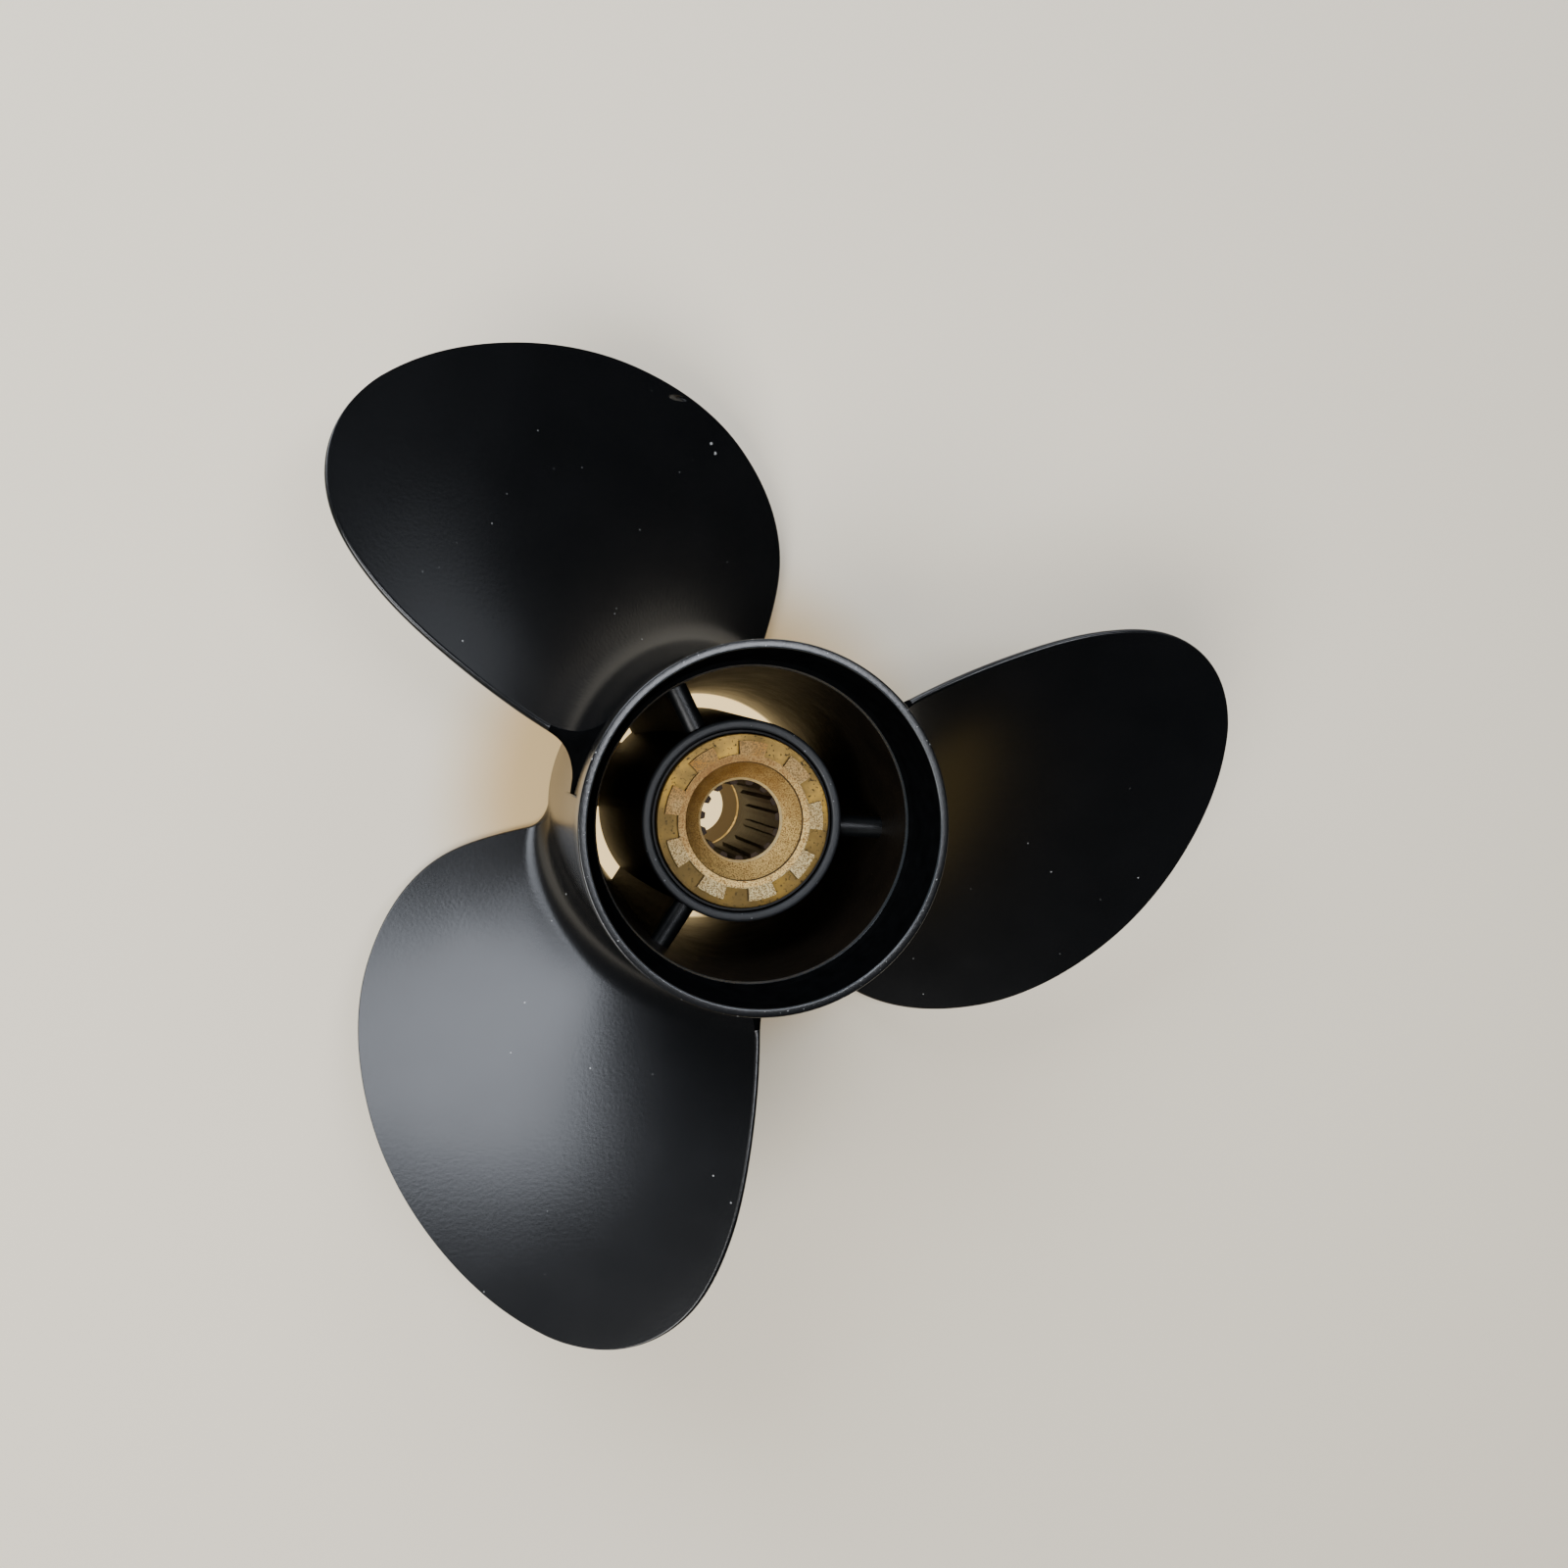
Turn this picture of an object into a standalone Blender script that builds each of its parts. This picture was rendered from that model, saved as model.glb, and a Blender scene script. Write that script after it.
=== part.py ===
"""Boat propeller with a through-hub exhaust: one casting, a rubber cushion and a splined sleeve.

Metres, +Z up. The propeller stands on its forward hub face at z = 0, with +Z along its axis
towards the aft (exhaust) end. Angles are degrees counter-clockwise seen from the aft end.
"""
import math

import bmesh
import bpy
from mathutils import Vector

# Barrel
HUB_LENGTH = 0.143
RIM_RADIUS = 0.0600
RIM_WALL = 0.0028
RIM_EDGE = 0.0006
RIM_BAND = 0.003
FRONT_STEP = 0.0002
FRONT_RADIUS = RIM_RADIUS - FRONT_STEP
WAIST_STEP = 0.0017
WAIST_RADIUS = RIM_RADIUS - WAIST_STEP
WAIST_BELOW_RIM = 0.039
FLARE_EASE = 0.3
LEDGE_DEPTH = 0.021
RECESS_TAPER = 0.0029
STEP_WIDTH = 0.0014
LEDGE_RADIUS = RIM_RADIUS - RIM_WALL - RECESS_TAPER - STEP_WIDTH
PASSAGE_TAPER = 0.0074
FRONT_WALL = 0.0048
FRONT_RECESS_DEPTH = 0.005
BARREL_SEGMENTS = 96

# Inner hub tube and the ribs that carry it, across the exhaust passage
PASSAGE_WIDTH = 0.0180
TUBE_AFT_RADIUS = LEDGE_RADIUS - PASSAGE_WIDTH
TUBE_WALL = 0.0033
TUBE_BORE = TUBE_AFT_RADIUS - TUBE_WALL
TUBE_DRAFT = 0.0051
TUBE_AFT_DEPTH = 0.041
TUBE_EDGE = 0.0008
RIB_COUNT = 3
RIB_ANGLE = -4.0
RIB_THICKNESS = 0.0060
RIB_FRONT_THICKNESS = 0.0220
RIB_BELOW_TUBE = 0.005
RIB_FRONT_SETBACK = 0.003
RIB_ROUND_STEPS = 4
RIB_FOOT = 0.0020

# Blades
BLADE_COUNT = 3
BLADE_ANGLE = -7.6
TIP_RADIUS = 0.1880
ROOT_MID_HEIGHT = 0.0493
RAKE = 11.0
PITCH_AT_ROOT = 0.4245
PITCH_AT_TIP = 0.5185
ROOT_LEADING_LIFT = 0.0100
LEADING_LIFT_REACH = 0.085
# Edge angles from the tip to the root, at equal steps of the square root of the span left
LEADING_ANGLES = (16.9, 4.2, -11.9, -28.6, -41.9, -47.2)
TRAILING_ANGLES = (16.9, 24.4, 30.5, 35.0, 38.8, 43.0)
EDGE_THICKNESS = 0.0026
ROOT_THICKNESS = 0.0125
TIP_THICKNESS = 0.0036
THICKNESS_FALL = 1.5
SECTION_FULLNESS = 0.9
FILLET_REACH = 0.015
FILLET_FOOT = 0.006
TRAILING_FOOT = 0.010
BLADE_EMBED = 0.0035
SPAN_STEPS = 22
CHORD_STEPS = 16

# Rubber cushion
PIECE_GAP = 0.0003
CUSHION_RADIUS = TUBE_BORE - PIECE_GAP
CUSHION_LIP_WALL = 0.0010
CUSHION_LIP_BELOW_TUBE = 0.0015
CUSHION_FRONT_HEIGHT = 0.011

# Brass drive sleeve: a castellated flange that the cushion's lip rings, a dish and a splined bore
FLANGE_RADIUS = CUSHION_RADIUS - CUSHION_LIP_WALL - PIECE_GAP
FLANGE_THICKNESS = 0.010
FLANGE_MARGIN = 0.0025
SLEEVE_AFT_DEPTH = 0.038
SLEEVE_FRONT_HEIGHT = 0.009
TOOTH_COUNT = 9
TOOTH_ANGLE = 3.4
GAP_WIDTH_ANGLE = 19.0
TOOTH_OUTER_RADIUS = FLANGE_RADIUS - FLANGE_MARGIN
TOOTH_LENGTH = 0.0045
TOOTH_HEIGHT = 0.0018
DISH_EDGE = 0.0025
DISH_RADIUS = TOOTH_OUTER_RADIUS - TOOTH_LENGTH - DISH_EDGE
DISH_SLOPE = 0.0065
DISH_DROP = 0.0014
DISH_DEPTH = 0.0075
SPLINE_COUNT = 15
SPLINE_MAJOR_RADIUS = DISH_RADIUS - DISH_SLOPE
SPLINE_DEPTH = 0.0015
SPLINE_TOOTH_SHARE = 0.46
SPLINE_CREST_SHARE = 0.8
SPLINE_FOOT_SHARE = 1.15
SPLINE_ANGLE = 4.0
BORE_CHAMFER = 0.0008
COUNTERBORE_STEP = 0.002
COUNTERBORE_RADIUS = SPLINE_MAJOR_RADIUS + COUNTERBORE_STEP
COUNTERBORE_DEPTH = 0.034
SLEEVE_WALL = 0.003
SLEEVE_RADIUS = COUNTERBORE_RADIUS + SLEEVE_WALL
SLEEVE_SEGMENTS = 72

# Finishes: colour, roughness and metallic of each plain material
PAINT_LOOK = ((0.012, 0.013, 0.015), 0.38, 0.0)
BRASS_LOOK = ((0.42, 0.30, 0.09), 0.45, 1.0)
RUBBER_LOOK = ((0.02, 0.02, 0.02), 0.7, 0.0)

SHARP_ANGLE = 35
TINY = 1e-6


def clear_scene():
    """Remove whatever the file holds."""
    for obj in list(bpy.data.objects):
        bpy.data.objects.remove(obj, do_unlink=True)


def material(name, color, roughness, metallic):
    """A plain Principled material."""
    mat = bpy.data.materials.new(name)
    mat.use_nodes = True
    shader = mat.node_tree.nodes["Principled BSDF"]
    shader.inputs["Base Color"].default_value = (*color, 1.0)
    shader.inputs["Roughness"].default_value = roughness
    shader.inputs["Metallic"].default_value = metallic
    return mat


def finish(name, bm, mat=None):
    """Close a bmesh into a smooth-shaded object with outward normals."""
    bmesh.ops.remove_doubles(bm, verts=bm.verts, dist=TINY)
    bmesh.ops.recalc_face_normals(bm, faces=bm.faces)
    mesh = bpy.data.meshes.new(name)
    bm.to_mesh(mesh)
    bm.free()
    mesh.shade_smooth()
    mesh.set_sharp_from_angle(angle=math.radians(SHARP_ANGLE))
    obj = bpy.data.objects.new(name, mesh)
    bpy.context.collection.objects.link(obj)
    if mat:
        mesh.materials.append(mat)
    return obj


def lathe(name, profile, segments, mat=None):
    """Spin a closed profile of (radius, height) points round the Z axis."""
    bm = bmesh.new()
    verts = [bm.verts.new((radius, 0, height)) for radius, height in profile]
    for first, second in zip(verts, verts[1:] + verts[:1]):
        bm.edges.new((first, second))
    bmesh.ops.spin(bm, geom=bm.verts[:] + bm.edges[:], axis=(0, 0, 1), cent=(0, 0, 0),
                   steps=segments, angle=math.tau, use_merge=True)
    return finish(name, bm, mat)


def prism(name, outlines, low, high):
    """Extrude closed (x, y) outlines from one height to another, as one cutter or stock mesh."""
    bm = bmesh.new()
    for outline in outlines:
        base = bm.faces.new([bm.verts.new((x, y, low)) for x, y in outline])
        grown = bmesh.ops.extrude_face_region(bm, geom=[base])
        top = [item for item in grown["geom"] if isinstance(item, bmesh.types.BMVert)]
        bmesh.ops.translate(bm, verts=top, vec=(0, 0, high - low))
    return finish(name, bm)


def combine(target, tool, operation):
    """Add an exact Boolean, and keep its tool as a wire guide that isn't built."""
    modifier = target.modifiers.new(tool.name, "BOOLEAN")
    modifier.operation = operation
    modifier.solver = "EXACT"
    modifier.object = tool
    tool.hide_render = True
    tool.display_type = "WIRE"
    tool.parent = target


def polar(radius, degrees):
    """A point in the XY plane."""
    angle = math.radians(degrees)
    return radius * math.cos(angle), radius * math.sin(angle)


def passage_radius(height):
    """Inner wall of the barrel's tapered passage, from the front recess to the ledge."""
    low, high = FRONT_RECESS_DEPTH, HUB_LENGTH - LEDGE_DEPTH
    return LEDGE_RADIUS - PASSAGE_TAPER * (high - height) / (high - low)


def barrel():
    """The outer barrel: a waisted outside, a flared aft rim, a tapered recess, a step and a passage."""
    ledge = HUB_LENGTH - LEDGE_DEPTH
    waist = HUB_LENGTH - WAIST_BELOW_RIM
    mouth = RIM_RADIUS - RIM_WALL
    recess_end = mouth - RECESS_TAPER
    recess = FRONT_RADIUS - FRONT_WALL
    profile = [
        (recess, 0),
        (FRONT_RADIUS - RIM_EDGE, 0),
        (FRONT_RADIUS, RIM_EDGE),
        (FRONT_RADIUS, waist / 6),
        (WAIST_RADIUS + (FRONT_RADIUS - WAIST_RADIUS) * FLARE_EASE, waist * (1 - FLARE_EASE)),
        (WAIST_RADIUS, waist),
        (WAIST_RADIUS + (RIM_RADIUS - WAIST_RADIUS) * FLARE_EASE, waist + WAIST_BELOW_RIM / 2),
        (RIM_RADIUS, HUB_LENGTH - RIM_BAND),
        (RIM_RADIUS, HUB_LENGTH - RIM_EDGE),
        (RIM_RADIUS - RIM_EDGE, HUB_LENGTH),
        (mouth + RIM_EDGE, HUB_LENGTH),
        (mouth, HUB_LENGTH - RIM_EDGE),
        (recess_end, ledge + RIM_EDGE),
        (recess_end - RIM_EDGE, ledge),
        (LEDGE_RADIUS, ledge),
        (passage_radius(FRONT_RECESS_DEPTH), FRONT_RECESS_DEPTH),
        (recess, FRONT_RECESS_DEPTH),
    ]
    return lathe("propeller_casting", profile, BARREL_SEGMENTS, PAINT)


def tube_radius(height):
    """Outside of the inner hub tube, which widens forwards by its casting draft."""
    low, high = FRONT_RECESS_DEPTH, HUB_LENGTH - TUBE_AFT_DEPTH
    return TUBE_AFT_RADIUS + TUBE_DRAFT * (high - height) / (high - low)


def inner_tube():
    """The tube that holds the rubber cushion."""
    top = HUB_LENGTH - TUBE_AFT_DEPTH
    bottom = FRONT_RECESS_DEPTH
    profile = [
        (TUBE_BORE, bottom),
        (tube_radius(bottom), bottom),
        (tube_radius(top - TUBE_EDGE), top - TUBE_EDGE),
        (tube_radius(top) - TUBE_EDGE, top),
        (TUBE_BORE + TUBE_EDGE, top),
        (TUBE_BORE, top - TUBE_EDGE),
    ]
    return lathe("inner_tube_stock", profile, BARREL_SEGMENTS)


def rib(index):
    """One radial rib from tube to barrel: rounded aft edge, splayed feet, wider forwards."""
    half = RIB_THICKNESS / 2
    front_half = RIB_FRONT_THICKNESS / 2
    bottom = FRONT_RECESS_DEPTH + RIB_FRONT_SETBACK
    crown = HUB_LENGTH - TUBE_AFT_DEPTH - RIB_BELOW_TUBE
    outline = [(0, bottom), (-front_half, bottom)]
    for step in range(RIB_ROUND_STEPS + 1):
        angle = math.pi * (1 - step / RIB_ROUND_STEPS)
        outline.append((half * math.cos(angle), crown - half + half * math.sin(angle)))
    outline.append((front_half, bottom))
    stations = [
        (TUBE_BORE + TUBE_WALL / 3, RIB_FOOT),
        (TUBE_AFT_RADIUS + RIB_FOOT / 3, RIB_FOOT),
        (TUBE_AFT_RADIUS + 2 * RIB_FOOT, 0),
        (passage_radius(crown) - 2 * RIB_FOOT, 0),
        (passage_radius(crown) - RIB_FOOT / 3, RIB_FOOT),
        (passage_radius(crown) + TUBE_WALL / 2, RIB_FOOT),
    ]
    bm = bmesh.new()
    rings = []
    for radius, splay in stations:
        ring = []
        for across, height in outline:
            side = across * (half + splay) / half
            lift = splay / 2 if height > crown - half else 0
            ring.append(bm.verts.new((radius, side, height + lift)))
        rings.append(ring)
    skin(bm, rings)
    obj = finish(f"rib_{index + 1}_stock", bm)
    obj.rotation_euler.z = math.radians(RIB_ANGLE + index * 360 / RIB_COUNT)
    return obj


def skin(bm, rings):
    """Join a list of equal rings with quads and zip both end rings shut across their middle line."""
    count = len(rings[0])
    for near, far in zip(rings, rings[1:]):
        for i in range(count):
            j = (i + 1) % count
            bm.faces.new((near[i], near[j], far[j], far[i]))
    for ring in (rings[0], rings[-1]):
        for i in range(count // 2):
            corners = [ring[i], ring[i + 1], ring[-i - 1], ring[-i]]
            bm.faces.new(list(dict.fromkeys(corners)))


def along(values, place):
    """Smooth curve through equally spaced values, with place from 0 to 1."""
    last = len(values) - 1
    at = min(max(place, 0.0), 1.0) * last
    i = min(int(at), last - 1)
    t = at - i
    p1, p2 = values[i], values[i + 1]
    p0 = values[i - 1] if i > 0 else 2 * p1 - p2
    p3 = values[i + 2] if i + 2 <= last else 2 * p2 - p1
    return 0.5 * (2 * p1 + (p2 - p0) * t + (2 * p0 - 5 * p1 + 4 * p2 - p3) * t * t
                  + (3 * p1 - p0 - 3 * p2 + p3) * t ** 3)


def face_point(radius, degrees, leading):
    """A point of the blade's aft (pressure) face: a raked helix that flattens at its leading root."""
    outward = radius - FRONT_RADIUS
    share = outward / (TIP_RADIUS - FRONT_RADIUS)
    pitch = PITCH_AT_ROOT + (PITCH_AT_TIP - PITCH_AT_ROOT) * share
    angle = math.radians(degrees)
    height = ROOT_MID_HEIGHT + math.tan(math.radians(RAKE)) * outward + pitch * angle / math.tau
    if degrees < 0:
        lift = ROOT_LEADING_LIFT * min(max(1 - outward / LEADING_LIFT_REACH, 0), 1) ** 2
        height += lift * abs(degrees / leading) ** 3
    return Vector((radius * math.cos(angle), radius * math.sin(angle), height))


def face_normal(radius, degrees, leading):
    """Normal of the pressure face, pointing aft, kept square to the radius so sections stay round."""
    step = 1e-3
    turn = face_point(radius, degrees + step, leading) - face_point(radius, degrees - step, leading)
    out = face_point(radius + TINY, degrees, leading) - face_point(radius - TINY, degrees, leading)
    normal = out.cross(turn)
    outward = Vector((math.cos(math.radians(degrees)), math.sin(math.radians(degrees)), 0))
    return (normal - outward * normal.dot(outward)).normalized()


def root_foot(radius, width):
    """How much a root fillet of that width still adds to the blade at a radius."""
    away = (radius - WAIST_RADIUS) / FILLET_REACH
    return width * (1 - min(max(away, 0), 1)) ** 2


def blade_section(radius, left):
    """Closed section ring at one radius, from the leading edge round to it again."""
    leading, trailing = along(LEADING_ANGLES, left), along(TRAILING_ANGLES, left)
    share = min(max((TIP_RADIUS - radius) / (TIP_RADIUS - FRONT_RADIUS), 0), 1)
    thickest = TIP_THICKNESS + (ROOT_THICKNESS - TIP_THICKNESS) * share ** THICKNESS_FALL
    foot = root_foot(radius, FILLET_FOOT)
    edge_angle = math.degrees(EDGE_THICKNESS / 2 / radius)
    aft, forward = [], []
    for i in range(CHORD_STEPS + 1):
        chord = 0.5 - 0.5 * math.cos(math.pi * i / CHORD_STEPS)
        degrees = leading + (trailing - leading) * chord
        degrees += edge_angle * (1 - 2 * chord)
        normal = face_normal(radius, degrees, leading)
        point = face_point(radius, degrees, leading)
        fullness = math.sin(math.pi * chord) ** SECTION_FULLNESS
        body = EDGE_THICKNESS + (thickest - EDGE_THICKNESS) * fullness
        near_leading = max(1 - 2 * chord, 0) ** 3
        near_edge = abs(2 * chord - 1) ** 3
        aft.append(point + normal * foot * (1 - near_edge / 2))
        forward.append(point - normal * (body + foot * (1 - near_edge / 2 - near_leading / 2)))
    lead = nose(aft[0], forward[0], aft[1], EDGE_THICKNESS / 2)
    trail = nose(aft[-1], forward[-1], aft[-2], EDGE_THICKNESS / 2)
    level = Vector((-math.sin(math.radians(trailing)), math.cos(math.radians(trailing)), 0))
    trail += level * root_foot(radius, TRAILING_FOOT)
    return [lead] + aft + [trail] + forward[::-1]


def nose(upper, lower, inner, reach):
    """The point that rounds an edge, beyond the middle of its two corners."""
    return (upper + lower) / 2 + (upper - inner).normalized() * reach


def blade(index):
    """One blade, lofted from inside the barrel wall to its tip."""
    bm = bmesh.new()
    rings = []
    span = TIP_RADIUS - FRONT_RADIUS
    root = WAIST_RADIUS - BLADE_EMBED
    rings.append([bm.verts.new(point) for point in blade_section(root, 1.0)])
    for step in range(SPAN_STEPS + 1):
        left = 1 - step / (SPAN_STEPS + 0.6)
        radius = TIP_RADIUS - span * left ** 2
        rings.append([bm.verts.new(point) for point in blade_section(radius, left)])
    skin(bm, rings)
    obj = finish(f"blade_{index + 1}_stock", bm)
    obj.rotation_euler.z = math.radians(BLADE_ANGLE + index * 360 / BLADE_COUNT)
    return obj


def propeller_casting():
    """Barrel, inner tube, ribs and blades, fused as the real casting is."""
    casting = barrel()
    for index in range(BLADE_COUNT):
        combine(casting, blade(index), "UNION")
    combine(casting, inner_tube(), "UNION")
    for index in range(RIB_COUNT):
        combine(casting, rib(index), "UNION")
    return casting


def castellation_cutter(floor):
    """Sectors that cut the gaps between the flange's raised teeth."""
    outlines = []
    pitch = 360 / TOOTH_COUNT
    start = TOOTH_OUTER_RADIUS - TOOTH_LENGTH
    reach = TOOTH_OUTER_RADIUS + FLANGE_MARGIN / 2
    steps = 4
    for i in range(TOOTH_COUNT):
        middle = TOOTH_ANGLE + pitch * (i + 0.5)
        angles = [middle + GAP_WIDTH_ANGLE * (k / steps - 0.5) for k in range(steps + 1)]
        inner = [polar(start, a) for a in angles]
        outer = [polar(reach, a) for a in reversed(angles)]
        outlines.append(inner + outer)
    return prism("castellation_cutter", outlines, floor, floor + 2 * TOOTH_HEIGHT)


def spline_cutter(low, high):
    """The splined bore: a round hole with flat-sided teeth that stand inwards."""
    pitch = 360 / SPLINE_COUNT
    half_tooth = pitch * SPLINE_TOOTH_SHARE / 2
    half_crest, half_foot = half_tooth * SPLINE_CREST_SHARE, half_tooth * SPLINE_FOOT_SHARE
    crest = SPLINE_MAJOR_RADIUS - SPLINE_DEPTH
    outline = []
    for i in range(SPLINE_COUNT):
        middle = SPLINE_ANGLE + i * pitch
        outline.append(polar(SPLINE_MAJOR_RADIUS, middle - pitch / 2))
        outline.append(polar(SPLINE_MAJOR_RADIUS, middle - half_foot))
        outline.append(polar(crest, middle - half_crest))
        outline.append(polar(crest, middle + half_crest))
        outline.append(polar(SPLINE_MAJOR_RADIUS, middle + half_foot))
    return prism("spline_cutter", [outline], low, high)


def drive_sleeve():
    """The brass sleeve: castellated aft flange, dished face, splined bore and front counterbore."""
    top = HUB_LENGTH - SLEEVE_AFT_DEPTH
    floor = top - TOOTH_HEIGHT
    bottom = SLEEVE_FRONT_HEIGHT
    mouth = SPLINE_MAJOR_RADIUS + BORE_CHAMFER
    core = (SPLINE_MAJOR_RADIUS - SPLINE_DEPTH) / 2
    edge = PIECE_GAP
    profile = [
        (core, bottom + COUNTERBORE_DEPTH),
        (COUNTERBORE_RADIUS, bottom + COUNTERBORE_DEPTH),
        (COUNTERBORE_RADIUS, bottom),
        (SLEEVE_RADIUS, bottom),
        (SLEEVE_RADIUS, top - FLANGE_THICKNESS),
        (FLANGE_RADIUS, top - FLANGE_THICKNESS),
        (FLANGE_RADIUS, floor - edge),
        (FLANGE_RADIUS - edge, floor),
        (TOOTH_OUTER_RADIUS, floor),
        (TOOTH_OUTER_RADIUS, top),
        (DISH_RADIUS, top),
        (DISH_RADIUS - edge, top - DISH_DROP),
        (mouth, top - DISH_DEPTH),
        (SPLINE_MAJOR_RADIUS, top - DISH_DEPTH - BORE_CHAMFER),
        (core, top - DISH_DEPTH - BORE_CHAMFER),
    ]
    sleeve = lathe("drive_sleeve", profile, SLEEVE_SEGMENTS, BRASS)
    combine(sleeve, castellation_cutter(floor), "DIFFERENCE")
    combine(sleeve, spline_cutter(bottom, top), "DIFFERENCE")
    return sleeve


def cushion_bush():
    """The rubber bush, with a thin lip that shows round the brass flange."""
    under = HUB_LENGTH - SLEEVE_AFT_DEPTH - FLANGE_THICKNESS - PIECE_GAP
    lip = HUB_LENGTH - TUBE_AFT_DEPTH - CUSHION_LIP_BELOW_TUBE
    profile = [
        (SLEEVE_RADIUS + PIECE_GAP, CUSHION_FRONT_HEIGHT),
        (CUSHION_RADIUS, CUSHION_FRONT_HEIGHT),
        (CUSHION_RADIUS, lip),
        (FLANGE_RADIUS + PIECE_GAP, lip),
        (FLANGE_RADIUS + PIECE_GAP, under),
        (SLEEVE_RADIUS + PIECE_GAP, under),
    ]
    return lathe("cushion_bush", profile, SLEEVE_SEGMENTS, RUBBER)


clear_scene()
PAINT = material("satin_black_paint", *PAINT_LOOK)
BRASS = material("cast_brass", *BRASS_LOOK)
RUBBER = material("black_rubber", *RUBBER_LOOK)
propeller_casting()
cushion_bush()
drive_sleeve()
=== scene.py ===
"""Looks of a boat propeller: a black-painted casting, a rubber cushion and a brass drive sleeve.

Metres, +Z up. The propeller stands on its forward hub face at z = 0, with +Z along its axis towards
the aft (exhaust) end. Angles are degrees counter-clockwise seen from the aft end.
"""
import math

import bpy
import numpy as np
from mathutils import Matrix, Quaternion, Vector


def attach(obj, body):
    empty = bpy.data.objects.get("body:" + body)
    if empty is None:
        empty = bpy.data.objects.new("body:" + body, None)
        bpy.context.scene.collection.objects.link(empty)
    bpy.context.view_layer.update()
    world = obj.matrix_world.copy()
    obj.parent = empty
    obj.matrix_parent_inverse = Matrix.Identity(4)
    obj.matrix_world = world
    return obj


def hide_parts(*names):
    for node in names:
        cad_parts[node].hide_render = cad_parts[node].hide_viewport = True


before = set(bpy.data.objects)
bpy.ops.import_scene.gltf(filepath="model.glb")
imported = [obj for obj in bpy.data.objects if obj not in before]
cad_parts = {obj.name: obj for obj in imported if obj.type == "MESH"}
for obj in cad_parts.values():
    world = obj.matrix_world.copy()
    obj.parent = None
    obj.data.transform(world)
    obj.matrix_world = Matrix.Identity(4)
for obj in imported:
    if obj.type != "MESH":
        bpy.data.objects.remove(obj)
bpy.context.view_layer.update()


# Barrel: the outer tube of the casting, cast in aluminium and turned at its aft rim, then painted.
# The aft rim is a thin band. Inside it a tapered recess 21 mm deep ends in a small rounded step, where
# the as-cast passage begins.
# The blades grow out of its waisted outside.
def begin():
    """Leave edit mode with nothing selected, because the CAD nodes come in selected."""
    if bpy.context.mode != "OBJECT":
        bpy.ops.object.mode_set(mode="OBJECT")
    bpy.ops.object.select_all(action="DESELECT")


def named(name):
    """Name the object just made, and its mesh."""
    piece = bpy.context.object
    piece.name = name
    piece.data.name = name
    return piece


def polygon(name, points):
    """A circle primitive with its points moved onto a closed outline."""
    begin()
    bpy.ops.mesh.primitive_circle_add(vertices=len(points))
    piece = named(name)
    for vert, point in zip(piece.data.vertices, points):
        vert.co = point
    return piece


def rounded(corners, steps=5):
    """Closed (radius, height) outline with each corner (radius, height, round) turned to an arc."""
    outline = []
    count = len(corners)
    for i in range(count):
        before, here, after = (Vector(corners[j % count][:2]) for j in (i - 1, i, i + 1))
        arc = corners[i][2]
        if not arc:
            outline.append(here)
            continue
        back, ahead = (before - here).normalized(), (after - here).normalized()
        half = back.angle(ahead) / 2
        centre = here + (back + ahead).normalized() * arc / math.sin(half)
        start = here + back * arc / math.tan(half) - centre
        end = here + ahead * arc / math.tan(half) - centre
        sweep = start.angle_signed(end)
        for step in range(steps + 1):
            turn = Matrix.Rotation(-sweep * step / steps, 2)
            outline.append(centre + turn @ start)
    return outline


def turned(name, outline, steps):
    """Spin a closed (radius, height) outline about the Z axis."""
    piece = polygon(name, [(radius, 0, height) for radius, height in outline])
    bpy.ops.object.mode_set(mode="EDIT")
    bpy.ops.mesh.select_all(action="SELECT")
    bpy.ops.mesh.spin(steps=steps, angle=math.tau, center=(0, 0, 0), axis=(0, 0, 1))
    tidy_mesh()
    return piece


def tidy_mesh():
    """In edit mode: weld the seams, turn the faces outwards and leave edit mode."""
    bpy.ops.mesh.select_all(action="SELECT")
    bpy.ops.mesh.remove_doubles(threshold=2e-6)
    bpy.ops.mesh.normals_make_consistent(inside=False)
    bpy.ops.object.mode_set(mode="OBJECT")


def linear(hex_colour):
    """An sRGB hex colour as linear RGBA."""
    parts = [int(hex_colour[i:i + 2], 16) / 255 for i in (1, 3, 5)]
    return (*[p / 12.92 if p <= 0.04045 else ((p + 0.055) / 1.055) ** 2.4 for p in parts], 1.0)


def add(mat, kind, inputs=(), **settings):
    """Add a node to a material, with its settings and its input values or links."""
    new = mat.node_tree.nodes.new(kind)
    for key, value in settings.items():
        setattr(new, key, value)
    for key, value in dict(inputs).items():
        if isinstance(value, bpy.types.NodeSocket):
            mat.node_tree.links.new(value, new.inputs[key])
        else:
            new.inputs[key].default_value = value
    return new


def finish_named(name):
    """A new material, with its shader and the object coordinates that its patterns follow."""
    mat = bpy.data.materials.new(name)
    mat.use_nodes = True
    return mat, mat.node_tree.nodes["Principled BSDF"], add(mat, "ShaderNodeTexCoord").outputs["Object"]


def per_mm(size_mm):
    """Texture scale for a feature of that size, as object coordinates are metres."""
    return 1000 / size_mm


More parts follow.
